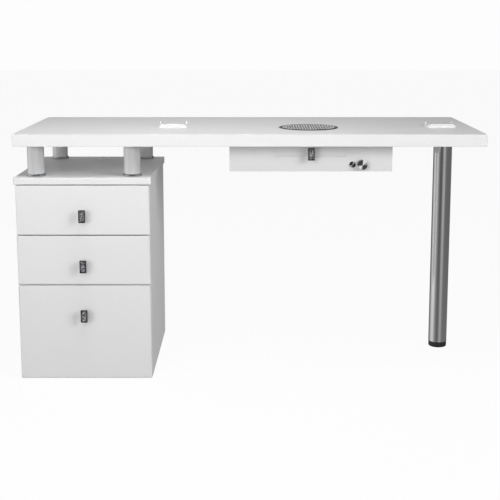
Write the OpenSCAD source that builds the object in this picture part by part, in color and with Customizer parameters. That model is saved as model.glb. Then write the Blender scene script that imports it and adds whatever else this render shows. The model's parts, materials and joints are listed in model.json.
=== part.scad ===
// Manicure table: worktop on a drawer pedestal and one tube leg, with a built-in dust extractor.
// The origin is on the floor, under the middle of the whole table. The front faces -Y.

/* [Worktop] */
// Length of the worktop, left to right
top_w = 1400; // [1300:10:1500]
// Depth of the worktop, front to back
top_d = 560; // [540:10:600]
// Thickness of the worktop
top_t = 36; // [30:1:45]
// Height of the working surface above the floor
table_h = 750; // [740:1:760]

/* [Pedestal] */
// Width of the pedestal's top board
ped_w = 408; // [400:1:430]
// Depth of the pedestal, front of the drawers to the back panel
ped_d = 490; // [490:1:510]
// Thickness of the pedestal's top board
ped_top_t = 20; // [16:1:24]
// How far the top board stands out beyond each side of the carcass
ped_overhang = 5; // [0:1:8]
// Thickness of the carcass panels and drawer fronts
panel_t = 18; // [16:1:19]

/* [Drawers] */
// Height of the two small drawer fronts
small_front_h = 149; // [140:1:150]
// Gap between one front and the next
front_gap = 3; // [2:0.5:4]
// How far a drawer pulls out
drawer_travel = 420; // [350:10:420]

/* [Handles] */
// Width of a handle's face
handle_w = 20; // [18:1:24]
// Height of a handle's face
handle_h = 38; // [34:1:44]
// How far a handle stands out in front
handle_out = 25; // [20:1:28]

/* [Posts and leg] */
// Height of the gap that the posts hold open under the worktop
post_h = 93; // [88:1:100]
// Diameter of the posts
post_dia = 50; // [40:1:54]
// Diameter of the leg tube
leg_dia = 60; // [50:1:64]
// How far the leg's foot unscrews
foot_travel = 20; // [5:1:20]

/* [Dust extractor] */
// Width of the extractor's casing
ext_w = 490; // [460:5:520]
// Height of the extractor's casing
ext_h = 82; // [82:1:90]
// Diameter of the grille's rim on the worktop
grille_dia = 185; // [182:1:188]
// How far the filter tray pulls out
tray_travel = 220; // [210:5:240]

/* [Cable outlets] */
// Width of an outlet on the worktop
outlet_w = 88; // [80:1:96]
// Depth of an outlet on the worktop
outlet_d = 70; // [66:1:80]

/* [Hidden] */
$fn = 64;

// finishes
white_board = "#f2f2f0";
white_plastic = "#f7f7f5";
white_sheet = "#efefed";
brushed = "#b9b9b9";
chrome = "#8f9092";
gunmetal = "#4a4a4c";
crystal = "#d9d4dc";
steel = "#c4c6c8";
black_plastic = "#1c1c1d";
natural_wood = "#d8bd8c";

// the frame: the handles are the front-most thing, the worktop's back edge the rear-most
left_x = -top_w / 2;
front_y = (handle_out - top_d) / 2;
under_z = table_h - top_t;
function behind(d) = front_y + d;
cut = 1;          // how far a cutter runs past a face
top_corner_r = 3;

// pedestal
ped_mid_x = left_x + ped_w / 2;
ped_top_z = under_z - post_h;
ped_under_z = ped_top_z - ped_top_t;
carcass_w = ped_w - 2 * ped_overhang;
carcass_in_w = carcass_w - 2 * panel_t;
back_t = 4;
glide_h = 4;
glide_r = 8;
glide_inset = 30;
front_clear = 1.5;       // bumper gap behind each drawer front
carcass_front = behind(panel_t + front_clear);
carcass_back = behind(ped_d - back_t);
dowel_r = 4;
dowel_l = 32;
dowel_in_side = 12;
dowel_slack = 0.1;
dowel_inset = 60;

// posts and their bolts
post_r = post_dia / 2;
post_wall = 1.5;
post_cap_t = 3;
post_x = 144;            // from the pedestal's middle, to each side
post_inset_y = 46;
rosette_r = post_r + 3.5;
rosette_h = 8;
rosette_floor = 2;
rosette_chamfer = 3;
rosette_lip = 1;
stud_r = 4;
stud_hole_r = 4.2;
stud_in_top = 22;
stud_below = 6;          // thread that shows under the nut
nut_h = 6.5;
nut_r = 7.5;
washer_r = 12;
washer_t = 1.6;
post_spots = [
  for (sx = [-1, 1], y = [post_inset_y, ped_d - post_inset_y]) [ped_mid_x + sx * post_x, behind(y)]
];

// cable grommet in the pedestal's top board
grommet_y = behind(429);
grommet_rim_r = 33;
grommet_hole_r = 30;
grommet_bore_r = 28;
grommet_rim_h = 2.5;
grommet_cap_t = 2;
grommet_cap_gap = 0.3;
grommet_ledge = 2;
grommet_slot_w = 16;
grommet_slot_in = 6;     // from the cap's edge to the middle of the slot's round end
grommet_wall_slack = 0.3;
grommet_foot_gap = 2;    // the sleeve ends this far above the board's lower face
case_screw_depths = [110, 390];

// drawers, numbered from the top
front_side_gap = 0.5;
front_w = carcass_w - 2 * front_side_gap;
front_tops = [
  ped_under_z - front_gap,
  ped_under_z - 2 * front_gap - small_front_h,
  ped_under_z - 3 * front_gap - 2 * small_front_h
];
bottom_front_z = glide_h + 1;
front_heights = [small_front_h, small_front_h, front_tops[2] - bottom_front_z];
box_heights = [100, 100, 230];
box_above_front_base = [22, 22, 26];
function front_z(n) = front_tops[n - 1] - front_heights[n - 1];
function box_z(n) = front_z(n) + box_above_front_base[n - 1];
runner_l = drawer_travel + 30;
runner_gap = 13;         // between carcass side and drawer box
box_w = carcass_in_w - 2 * runner_gap;
box_t = 12;
box_back_y = behind(panel_t + runner_l);
box_floor_t = 4;
box_floor_up = 10;
groove_in = 6;
joint_gap = 0.1;         // glue line between the drawer box's own boards
runner_up = 38;          // runner's middle above the drawer box's lower edge
sheet_t = 1.2;           // steel of the runners
outer_half_h = 22.5;
middle_half_h = 17.5;
inner_half_h = 12.5;
middle_web_x = 2 * sheet_t;
outer_lip_x = 9.5;
inner_lip_x = 4.6;
runner_setback = 2;

// handles
handle_drop = 89;        // from a front's top edge down to the handle's middle
handle_plate_t = 6;
handle_rim = 3.3;
handle_pocket = 2.5;
handle_neck_r = 4.5;
handle_foot_r = 7;
handle_foot_t = 3;
crystal_base_t = 1.2;
crystal_gap = 0.1;
crystal_cols = 2;
crystal_rows = 5;
stone_h = 1.2;
stone_gap = 0.1;
stone_taper = 0.55;

// leg
leg_x = top_w / 2 - 68;
leg_y = behind(340);
leg_r = leg_dia / 2;
leg_wall = 1.5;
foot_h = 18;
foot_rim_r = leg_r - 0.5;
foot_chamfer = 2;
stem_r = 5;
stem_l = foot_travel + 20;
stem_slack = 0.05;
insert_l = 34;
plate_r = 50;
plate_t = 3;
plate_boss_l = 25;
leg_screw_ring = 41;
leg_screw_n = 5;
screw_r = 2;
screw_in_top = 16;
screw_slack = 0.3;
screw_head_r = 4;
screw_head_h = 2.4;

// dust extractor
ext_x = left_x + 884;
ext_recess = 60;
ext_d = 380;
ext_z = under_z - ext_h;
ext_front_t = 4;
case_t = 2;
case_front = behind(ext_recess + ext_front_t);
case_back = behind(ext_recess + ext_d);
case_lip = 16;
vent_y = behind(206);
vent_hole_r = 85;
grille_collar_r = 84.7;
grille_clear_r = 79;
grille_seat_r = 82.3;
grille_r = 82;
grille_rim_h = 2;
grille_t = 1.2;
grille_collar_h = 20;
grille_pitch = 9.5;
grille_hole_r = 3.6;
grille_field_r = 76;

// filter tray under the grille
tray_handle_z = under_z - 27;
tray_notch_w = 211;
tray_notch_h = 36;
tray_front_gap = 1;
tray_w = 194;
tray_d = tray_travel + 20;
tray_flange = 7;
tray_z = under_z - 32;
tray_h = 24;
tray_t = 2;
tray_window = 38;
tray_pitch = 45;
guide_t = 2;
guide_foot = 14;
guide_clear = 1;
guide_setback = 2;
guide_gap = 0.2;
filter_t = 18;
filter_gap = 1;

// fan
fan_z = ext_z + case_t;
fan_h = 38;
fan_r = 86;
fan_bore_r = 80;
fan_hub_r = 31;
fan_strut_w = 8;
fan_strut_h = 3;
motor_h = 20;
shaft_r = 2.5;
shaft_slack = 0.05;
cup_r = 35;
cup_wall = 2;
cup_up = 4;              // from the hub's plate to the cup's rim
blade_up = 16;
shaft_up = 3;
shaft_floor = 2;
blade_n = 7;
blade_tip_r = 77;
blade_pitch = 35;
blade_chord = 30;
blade_t = 1.6;
exhaust_r = 72;
exhaust_slot = 6;
exhaust_pitch = 12;

// controls on the extractor's front
control_z = under_z - 61;
knob_x = left_x + 1038;
switch_x = left_x + 1009;
knob_r = 15;
knob_h = 15;
knob_off = 1.5;
pointer_w = 1.2;
pointer_deep = 0.6;
pointer_from = 4;
spindle_l = 12;
spindle_room = 16;
bush_r = 4;
bush_hole_r = 4.1;
spindle_r = 3;
spindle_slack = 0.05;
pot_r = 12;
pot_h = 12;
bezel_r = 9.2;
bezel_t = 2;
barrel_r = 7.8;
barrel_hole_r = 7.9;
barrel_l = 26;
barrel_bore_l = 20;
button_r = 6;
button_gap = 0.3;
button_out = 3.5;
button_l = 14;

// cable gland in the extractor's back
gland_x = ext_x + 190;
gland_z = ext_z + ext_h / 2 - 1;
gland_bore_r = 3.5;
gland_r = 8;
gland_nut_r = 11;
gland_nut_h = 5;
gland_thread = 8;
gland_dome = 8;

// cable outlets
outlet_left_x = left_x + 458;
outlet_right_x = left_x + 1302;
outlet_y = behind(204);
outlet_h = 7;
outlet_r = 6;
outlet_wall = 2.5;
sleeve_inset = 6;
sleeve_slack = 0.5;
sleeve_r = 4;
sleeve_w = outlet_w - 2 * sleeve_inset;
sleeve_d = outlet_d - 2 * sleeve_inset;
ear_t = 5;
ear_r = 3.6;
lid_t = 3.6;
lid_gap = 0.2;
lid_inset = 1.5;
lid_side_gap = 0.4;
lid_w = outlet_w - 2 * ear_t - 4;
lid_pin_r = 1.3;
lid_pin_slack = 0.05;
lid_pin_l = 3;
lid_slot_w = 30;
lid_slot_d = 8;
hinge_y = outlet_y + outlet_d - 6;
hinge_z = table_h + outlet_h + lid_gap + lid_t / 2;

// a block between two opposite corners
module block(lo, hi) {
  translate(lo) cube(hi - lo);
}

// an outline with round corners, its middle on the origin
module rounded_rect(w, d, r) {
  square([w - 2 * r, d], center = true);
  square([w, d - 2 * r], center = true);
  for (sx = [-1, 1], sy = [-1, 1])
    translate([sx * (w / 2 - r), sy * (d / 2 - r)]) circle(r);
}

// a cylinder that lies along +Y from its near end
module rod_y(x, y, z, r, l) {
  translate([x, y, z]) rotate([-90, 0, 0]) cylinder(r = r, h = l);
}

// screw with a pan head, pointing up, its shank starting at z = 0
module wood_screw(l) {
  cylinder(r = screw_r, h = l);
  translate([0, 0, -screw_head_h]) cylinder(r1 = screw_head_r * 0.7, r2 = screw_head_r, h = screw_head_h);
}

// where the leg's screws sit on its mounting plate
module at_leg_screws() {
  for (a = [0:leg_screw_n - 1])
    translate([leg_x, leg_y, 0]) rotate([0, 0, a * 360 / leg_screw_n + 18]) translate([leg_screw_ring, 0, 0])
      children();
}

// where the extractor casing's screws sit on its lips
module at_case_screws() {
  for (sx = [-1, 1], y = case_screw_depths)
    translate([ext_x + sx * (ext_w / 2 - case_lip / 2), behind(y), 0]) children();
}

module worktop() color(white_board) difference() {
  translate([0, front_y + top_d / 2, under_z]) linear_extrude(top_t) rounded_rect(top_w, top_d, top_corner_r);
  translate([ext_x, vent_y, under_z - cut]) cylinder(r = vent_hole_r, h = top_t + 2 * cut);
  for (x = [outlet_left_x, outlet_right_x])
    translate([x, outlet_y + outlet_d / 2, under_z - cut])
      linear_extrude(top_t + 2 * cut)
        rounded_rect(sleeve_w + 2 * sleeve_slack, sleeve_d + 2 * sleeve_slack, sleeve_r + sleeve_slack);
  for (p = post_spots)
    translate([p.x, p.y, under_z - cut]) cylinder(r = stud_hole_r, h = stud_in_top + 2 * cut);
  at_leg_screws() translate([0, 0, under_z - cut]) cylinder(r = screw_r, h = screw_in_top + cut);
  at_case_screws() translate([0, 0, under_z - cut]) cylinder(r = screw_r, h = screw_in_top + cut);
}

// pedestal

module pedestal_top() color(white_board) difference() {
  translate([ped_mid_x, front_y + ped_d / 2, ped_under_z])
    linear_extrude(ped_top_t) rounded_rect(ped_w, ped_d, top_corner_r);
  for (p = post_spots)
    translate([p.x, p.y, ped_under_z - cut]) cylinder(r = stud_hole_r, h = ped_top_t + 2 * cut);
  translate([ped_mid_x, grommet_y, ped_under_z - cut]) cylinder(r = grommet_hole_r, h = ped_top_t + 2 * cut);
  at_top_dowels() cylinder(r = dowel_r, h = dowel_in_side);
}

// upright dowels between each side and the top board
module at_top_dowels() {
  for (sx = [-1, 1], y = [carcass_front + dowel_inset, carcass_back - dowel_inset])
    translate([ped_mid_x + sx * (carcass_w - panel_t) / 2, y, ped_under_z]) children();
}

// level dowels between each side and the bottom board, pointing inwards
module at_bottom_dowels() {
  for (sx = [-1, 1], y = [carcass_front + dowel_inset, carcass_back - dowel_inset])
    translate([ped_mid_x + sx * carcass_in_w / 2, y, glide_h + panel_t / 2])
      rotate([0, -sx * 90, 0]) children();
}

module pedestal_side(sx) color(white_board) difference() {
  block([ped_mid_x + (sx < 0 ? -carcass_w / 2 : carcass_in_w / 2), carcass_front, glide_h],
        [ped_mid_x + (sx < 0 ? -carcass_in_w / 2 : carcass_w / 2), carcass_back, ped_under_z]);
  at_top_dowels() translate([0, 0, dowel_in_side - dowel_l - dowel_slack]) cylinder(r = dowel_r, h = dowel_l);
  at_bottom_dowels() translate([0, 0, -dowel_in_side - dowel_slack]) cylinder(r = dowel_r, h = dowel_l);
}

module pedestal_bottom() color(white_board) difference() {
  block([ped_mid_x - carcass_in_w / 2, carcass_front, glide_h],
        [ped_mid_x + carcass_in_w / 2, carcass_back, glide_h + panel_t]);
  at_bottom_dowels() translate([0, 0, -cut]) cylinder(r = dowel_r, h = dowel_l - dowel_in_side + cut);
}

module pedestal_back() color(white_board)
  block([ped_mid_x - carcass_w / 2, carcass_back, glide_h],
        [ped_mid_x + carcass_w / 2, behind(ped_d), ped_under_z]);

module pedestal_glides() color(black_plastic)
  for (sx = [-1, 1], y = [carcass_front + glide_inset, carcass_back - glide_inset])
    translate([ped_mid_x + sx * (carcass_w - panel_t) / 2, y, 0]) cylinder(r = glide_r, h = glide_h);

module dowel() {
  cylinder(r = dowel_r - dowel_slack / 2, h = dowel_l - dowel_slack);
}

module pedestal_dowels() color(natural_wood) {
  at_top_dowels() translate([0, 0, dowel_in_side - dowel_l]) dowel();
  at_bottom_dowels() translate([0, 0, -dowel_in_side]) dowel();
}

// runners: three channels nest in each other, from the carcass side to the drawer box

// channel with its web at web_x and its two flanges reaching to lip_x, measured from the carcass side
module channel(web_x, lip_x, half_h) {
  y0 = behind(panel_t + runner_setback);
  near = min(web_x, lip_x);
  far = max(web_x + sheet_t, lip_x);
  block([web_x, y0, -half_h], [web_x + sheet_t, y0 + runner_l, half_h]);
  block([near, y0, half_h - sheet_t], [far, y0 + runner_l, half_h]);
  block([near, y0, -half_h], [far, y0 + runner_l, sheet_t - half_h]);
}

// puts a child at the left and, mirrored, at the right of drawer n
module on_both_sides(n) {
  for (s = [0, 1])
    translate([ped_mid_x, 0, box_z(n) + runner_up])
      mirror([s, 0, 0]) translate([-carcass_in_w / 2, 0, 0]) children();
}

module runner_outer() color(steel)
  for (n = [1:3]) on_both_sides(n) channel(0, outer_lip_x, outer_half_h);

module runner_middle(n) color(steel)
  on_both_sides(n) channel(middle_web_x, outer_lip_x, middle_half_h);

module drawer_runner(n) color(steel)
  on_both_sides(n) channel(runner_gap - sheet_t, inner_lip_x, inner_half_h);

// drawers

module drawer_front(n) color(white_board)
  block([ped_mid_x - front_w / 2, front_y, front_z(n)],
        [ped_mid_x + front_w / 2, behind(panel_t), front_tops[n - 1]]);

module drawer_box(n) color(white_board) {
  z = box_z(n);
  h = box_heights[n - 1];
  in_x = box_w / 2 - box_t;
  floor_lo = z + box_floor_up;
  for (s = [0, 1])
    translate([ped_mid_x, 0, 0]) mirror([s, 0, 0]) difference() {
      block([in_x, behind(panel_t), z], [box_w / 2, box_back_y, z + h]);
      block([in_x - cut, behind(panel_t) - cut, floor_lo - joint_gap],
            [in_x + groove_in, box_back_y + cut, floor_lo + box_floor_t + joint_gap]);
    }
  block([ped_mid_x - in_x + joint_gap, box_back_y - box_t, floor_lo + box_floor_t + joint_gap],
        [ped_mid_x + in_x - joint_gap, box_back_y, z + h]);
  block([ped_mid_x - in_x - groove_in + joint_gap, behind(panel_t), floor_lo],
        [ped_mid_x + in_x + groove_in - joint_gap, box_back_y, floor_lo + box_floor_t]);
}

// handle on a front whose face is at y: a framed plate on a round neck
module handle(x, y, z) color(gunmetal) {
  face = y - handle_out;
  difference() {
    translate([x - handle_w / 2, face, z - handle_h / 2]) cube([handle_w, handle_plate_t, handle_h]);
    translate([x - handle_w / 2 + handle_rim, face - cut, z - handle_h / 2 + handle_rim])
      cube([handle_w - 2 * handle_rim, handle_pocket + cut, handle_h - 2 * handle_rim]);
  }
  rod_y(x, face + handle_plate_t, z, handle_neck_r, handle_out - handle_plate_t);
  rod_y(x, y - handle_foot_t, z, handle_foot_r, handle_foot_t);
}

// inlay of cut stones that fills a handle's frame
module crystals(x, y, z) color(crystal) {
  w = handle_w - 2 * handle_rim - 2 * crystal_gap;
  h = handle_h - 2 * handle_rim - 2 * crystal_gap;
  back = y - handle_out + handle_pocket;
  step_x = w / crystal_cols;
  step_z = h / crystal_rows;
  stone_r = (min(step_x, step_z) - stone_gap) / 2;
  block([x - w / 2, back - crystal_base_t, z - h / 2], [x + w / 2, back, z + h / 2]);
  for (i = [0.5:crystal_cols], k = [0.5:crystal_rows])
    translate([x - w / 2 + i * step_x, back - crystal_base_t, z - h / 2 + k * step_z])
      rotate([90, 0, 0]) cylinder(r1 = stone_r, r2 = stone_r * stone_taper, h = stone_h);
}

function handle_z(n) = front_tops[n - 1] - handle_drop;

module drawer_handle(n) handle(ped_mid_x, front_y, handle_z(n));

module drawer_crystals(n) crystals(ped_mid_x, front_y, handle_z(n));

// posts between the pedestal and the worktop

module posts() color(brushed)
  for (p = post_spots)
    translate([p.x, p.y, ped_top_z + rosette_floor]) difference() {
      cylinder(r = post_r, h = post_h - rosette_floor);
      translate([0, 0, -cut]) cylinder(r = post_r - post_wall, h = post_h - rosette_floor - post_cap_t + cut);
      cylinder(r = stud_hole_r, h = post_h);
    }

module post_rosettes() color(chrome)
  for (p = post_spots)
    translate([p.x, p.y, ped_top_z]) rotate_extrude() polygon([
      [stud_hole_r, 0], [rosette_r, 0], [rosette_r, rosette_h - rosette_chamfer],
      [post_r + rosette_lip, rosette_h], [post_r, rosette_h], [post_r, rosette_floor],
      [stud_hole_r, rosette_floor]
    ]);

module post_bolts() color(steel)
  for (p = post_spots)
    translate([p.x, p.y, ped_under_z]) {
      translate([0, 0, -washer_t - nut_h - stud_below])
        cylinder(r = stud_r, h = washer_t + nut_h + stud_below + ped_top_t + post_h + stud_in_top);
      translate([0, 0, -washer_t]) cylinder(r = washer_r, h = washer_t);
      translate([0, 0, -washer_t - nut_h]) cylinder(r = nut_r, h = nut_h, $fn = 6);
    }

// cable grommet in the pedestal's top board

module grommet_ring() color(white_plastic) {
  ledge_r = grommet_bore_r - grommet_ledge;
  ledge_z = grommet_rim_h - grommet_cap_t - 0.2;
  wall_r = grommet_hole_r - grommet_wall_slack;
  foot_z = grommet_foot_gap - ped_top_t;
  translate([ped_mid_x, grommet_y, ped_top_z]) rotate_extrude() polygon([
    [ledge_r, ledge_z - 3], [grommet_bore_r, ledge_z - 6], [grommet_bore_r, foot_z],
    [wall_r, foot_z], [wall_r, 0], [grommet_rim_r, 0], [grommet_rim_r - 1, grommet_rim_h],
    [grommet_bore_r, grommet_rim_h], [grommet_bore_r, ledge_z], [ledge_r, ledge_z]
  ]);
}

module grommet_cap() color(white_plastic)
  translate([ped_mid_x, grommet_y, ped_top_z + grommet_rim_h - grommet_cap_t]) linear_extrude(grommet_cap_t)
    difference() {
      circle(grommet_bore_r - grommet_cap_gap);
      translate([0, grommet_bore_r - grommet_slot_in]) circle(grommet_slot_w / 2);
      translate([-grommet_slot_w / 2, grommet_bore_r - grommet_slot_in])
        square([grommet_slot_w, 2 * grommet_slot_in]);
    }

// leg

module leg_tube() color(brushed)
  translate([leg_x, leg_y, foot_h]) difference() {
    cylinder(r = leg_r, h = under_z - plate_t - foot_h);
    translate([0, 0, -cut]) cylinder(r = leg_r - leg_wall, h = under_z);
  }

module leg_plate() color(steel)
  difference() {
    translate([leg_x, leg_y, under_z - plate_t]) {
      cylinder(r = plate_r, h = plate_t);
      translate([0, 0, -plate_boss_l]) difference() {
        cylinder(r = leg_r - leg_wall, h = plate_boss_l);
        translate([0, 0, -cut]) cylinder(r = leg_r - leg_wall - 3, h = plate_boss_l + cut);
      }
    }
    at_leg_screws() translate([0, 0, under_z - plate_t - cut])
      cylinder(r = screw_r + screw_slack, h = plate_t + 2 * cut);
  }

module leg_screws() color(steel)
  at_leg_screws() translate([0, 0, under_z - plate_t]) wood_screw(screw_in_top + plate_t - 1);

module leg_insert() color(black_plastic)
  translate([leg_x, leg_y, foot_h]) difference() {
    cylinder(r = leg_r - leg_wall, h = insert_l);
    translate([0, 0, -cut]) cylinder(r = stem_r + stem_slack, h = insert_l + 2 * cut);
  }

module leg_foot() color(black_plastic)
  translate([leg_x, leg_y, 0]) {
    rotate_extrude() polygon([
      [0, 0], [foot_rim_r - foot_chamfer, 0], [foot_rim_r, foot_chamfer], [foot_rim_r, foot_h], [0, foot_h]
    ]);
    translate([0, 0, foot_h - cut]) cylinder(r = stem_r, h = stem_l + cut);
  }

// dust extractor

module extractor_front() color(white_sheet) difference() {
  block([ext_x - ext_w / 2, behind(ext_recess), ext_z], [ext_x + ext_w / 2, case_front, under_z]);
  block([ext_x - tray_notch_w / 2, behind(ext_recess) - cut, under_z - tray_notch_h],
        [ext_x + tray_notch_w / 2, case_front + cut, under_z + cut]);
  rod_y(knob_x, behind(ext_recess) - cut, control_z, bush_hole_r, ext_front_t + 2 * cut);
  rod_y(switch_x, behind(ext_recess) - cut, control_z, barrel_hole_r, ext_front_t + 2 * cut);
}

// folded sheet: a floor with exhaust slots, three walls and a lip along the top of each side
module extractor_case() color(white_sheet) {
  x0 = ext_x - ext_w / 2;
  x1 = ext_x + ext_w / 2;
  difference() {
    block([x0, case_front, ext_z], [x1, case_back, ext_z + case_t]);
    translate([ext_x, vent_y, ext_z - cut]) linear_extrude(case_t + 2 * cut) intersection() {
      circle(exhaust_r);
      for (i = [-5:5])
        translate([i * exhaust_pitch, 0]) square([exhaust_slot, 2 * exhaust_r], center = true);
    }
  }
  block([x0, case_front, ext_z], [x0 + case_t, case_back, under_z]);
  block([x1 - case_t, case_front, ext_z], [x1, case_back, under_z]);
  difference() {
    block([x0, case_back - case_t, ext_z], [x1, case_back, under_z]);
    rod_y(gland_x, case_back - case_t - cut, gland_z, gland_r, case_t + 2 * cut);
  }
  difference() {
    union() {
      block([x0, case_front, under_z - case_t], [x0 + case_lip, case_back, under_z]);
      block([x1 - case_lip, case_front, under_z - case_t], [x1, case_back, under_z]);
    }
    at_case_screws() translate([0, 0, under_z - case_t - cut])
      cylinder(r = screw_r + screw_slack, h = case_t + 2 * cut);
  }
}

module case_screws() color(steel)
  at_case_screws() translate([0, 0, under_z - case_t]) wood_screw(screw_in_top + case_t - 1);

// angle rails under the worktop that carry the tray's flanges
module tray_guides() color(steel)
  for (s = [0, 1])
    translate([ext_x, 0, 0]) mirror([s, 0, 0]) {
      in_x = tray_w / 2 + guide_clear;
      web_x = tray_w / 2 + tray_flange + guide_clear;
      lip_z = tray_z + tray_h - tray_t - guide_gap;
      y0 = case_front + guide_setback;
      y1 = y0 + tray_d;
      block([in_x, y0, lip_z - guide_t], [web_x + guide_t, y1, lip_z]);
      block([web_x, y0, lip_z - guide_t], [web_x + guide_t, y1, under_z]);
      block([web_x, y0, under_z - guide_t], [web_x + guide_foot, y1, under_z]);
    }

module tray_front() color(white_sheet)
  translate([ext_x - tray_notch_w / 2, behind(ext_recess), under_z - tray_notch_h])
    translate([tray_front_gap, 0, tray_front_gap])
      cube([tray_notch_w - 2 * tray_front_gap, ext_front_t, tray_notch_h - 2 * tray_front_gap]);

// open tray with a barred floor and a flange along the top of each side
module tray_box() color(white_sheet) {
  y0 = case_front;
  y1 = case_front + tray_d;
  x0 = ext_x - tray_w / 2;
  x1 = ext_x + tray_w / 2;
  top = tray_z + tray_h;
  translate([ext_x, y0 + tray_d / 2, tray_z]) linear_extrude(tray_t) difference() {
    square([tray_w, tray_d], center = true);
    for (i = [-1.5:1.5], k = [-2:2])
      translate([i * tray_pitch, k * tray_pitch]) square(tray_window, center = true);
  }
  block([x0, y0, tray_z], [x0 + tray_t, y1, top]);
  block([x1 - tray_t, y0, tray_z], [x1, y1, top]);
  block([x0, y1 - tray_t, tray_z], [x1, y1, top]);
  block([x0 - tray_flange, y0, top - tray_t], [x0 + tray_t, y1, top]);
  block([x1 - tray_t, y0, top - tray_t], [x1 + tray_flange, y1, top]);
}

module tray_filter() color("whitesmoke") {
  w = tray_w - 2 * tray_t - 2 * filter_gap;
  translate([ext_x - w / 2, case_front + filter_gap, tray_z + tray_t])
    cube([w, tray_d - tray_t - 2 * filter_gap, filter_t]);
}

module tray_handle() handle(ext_x, behind(ext_recess), tray_handle_z);

module tray_crystals() crystals(ext_x, behind(ext_recess), tray_handle_z);

// fan under the tray

module fan_frame() color(black_plastic)
  translate([ext_x, vent_y, fan_z]) {
    difference() {
      cylinder(r = fan_r, h = fan_h);
      translate([0, 0, -cut]) cylinder(r = fan_bore_r, h = fan_h + 2 * cut);
    }
    cylinder(r = fan_hub_r, h = fan_strut_h);
    for (a = [0, 120, 240])
      rotate([0, 0, a]) block([0, -fan_strut_w / 2, 0], [fan_bore_r + 1, fan_strut_w / 2, fan_strut_h]);
  }

module fan_motor() color(steel)
  translate([ext_x, vent_y, fan_z + fan_strut_h]) difference() {
    cylinder(r = fan_hub_r, h = motor_h);
    translate([0, 0, shaft_floor]) cylinder(r = shaft_r + shaft_slack, h = motor_h);
  }

module fan_impeller() color(black_plastic)
  translate([ext_x, vent_y, fan_z + fan_strut_h]) {
    difference() {
      translate([0, 0, cup_up]) cylinder(r = cup_r, h = motor_h + 1);
      translate([0, 0, cup_up - cut]) cylinder(r = cup_r - cup_wall, h = motor_h - cup_wall + cut);
    }
    translate([0, 0, shaft_up]) cylinder(r = shaft_r, h = motor_h);
    for (i = [0:blade_n - 1])
      rotate([0, 0, i * 360 / blade_n]) translate([(cup_r + blade_tip_r) / 2 - 0.5, 0, blade_up])
        rotate([blade_pitch, 0, 0]) cube([blade_tip_r - cup_r + 1, blade_chord, blade_t], center = true);
  }

// controls

module speed_control() color(steel) difference() {
  union() {
    rod_y(knob_x, case_front, control_z, pot_r, pot_h);
    rod_y(knob_x, behind(ext_recess) - knob_off, control_z, bush_r, ext_front_t + knob_off + 1);
  }
  rod_y(knob_x, behind(ext_recess) - knob_off - cut, control_z, spindle_r + spindle_slack, spindle_room);
}

module speed_knob() color(brushed) {
  back = behind(ext_recess) - knob_off;
  difference() {
    union() {
      rod_y(knob_x, back - knob_h, control_z, knob_r - 1, knob_h);
      rod_y(knob_x, back - knob_h + 1, control_z, knob_r, knob_h - 1);
    }
    translate([knob_x - pointer_w / 2, back - knob_h - cut, control_z + pointer_from])
      cube([pointer_w, cut + pointer_deep, knob_r]);
  }
  rod_y(knob_x, back - cut, control_z, spindle_r, spindle_l + cut);
}

module power_switch() color(chrome) difference() {
  union() {
    rod_y(switch_x, behind(ext_recess) - bezel_t, control_z, bezel_r, bezel_t);
    rod_y(switch_x, behind(ext_recess) - cut, control_z, barrel_r, barrel_l + cut);
  }
  rod_y(switch_x, behind(ext_recess) - bezel_t - cut, control_z, button_r + button_gap, barrel_bore_l + cut);
}

module power_button() color(chrome)
  rod_y(switch_x, behind(ext_recess) - bezel_t - button_out, control_z, button_r, button_l);

// its two hexagons grip the casing's back wall, and the dome outside squeezes the cord
module cable_gland() color(black_plastic)
  translate([gland_x, case_back, gland_z]) rotate([-90, 0, 0]) difference() {
    union() {
      translate([0, 0, -case_t - gland_thread]) cylinder(r = gland_r, h = gland_thread + case_t);
      translate([0, 0, -case_t - gland_nut_h]) cylinder(r = gland_nut_r, h = gland_nut_h, $fn = 6);
      cylinder(r = gland_nut_r, h = gland_nut_h, $fn = 6);
      translate([0, 0, gland_nut_h]) cylinder(r1 = gland_r, r2 = gland_r - 2, h = gland_dome);
    }
    translate([0, 0, -case_t - gland_thread - cut])
      cylinder(r = gland_bore_r, h = case_t + gland_thread + gland_nut_h + gland_dome + 2 * cut);
  }

// grille in the worktop

module grille_ring() color(gunmetal)
  translate([ext_x, vent_y, table_h]) rotate_extrude() polygon([
    [grille_clear_r, -grille_collar_h], [grille_collar_r, -grille_collar_h], [grille_collar_r, 0],
    [grille_dia / 2, 0], [grille_dia / 2 - 1.5, grille_rim_h], [grille_seat_r, grille_rim_h],
    [grille_seat_r, grille_rim_h - grille_t - 0.2], [grille_clear_r, grille_rim_h - grille_t - 0.2]
  ]);

module grille() color(brushed)
  translate([ext_x, vent_y, table_h + grille_rim_h - grille_t - 0.2]) linear_extrude(grille_t) difference() {
    circle(grille_r);
    for (i = [-9:9], k = [-9:9]) {
      p = [k * grille_pitch * sqrt(3) / 2, (i + (abs(k) % 2) / 2) * grille_pitch];
      if (norm(p) < grille_field_r) translate(p) circle(grille_hole_r, $fn = 6);
    }
  }

// cable outlets: a hollow hood with a sleeve through the worktop and a lid hinged at the back

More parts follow.
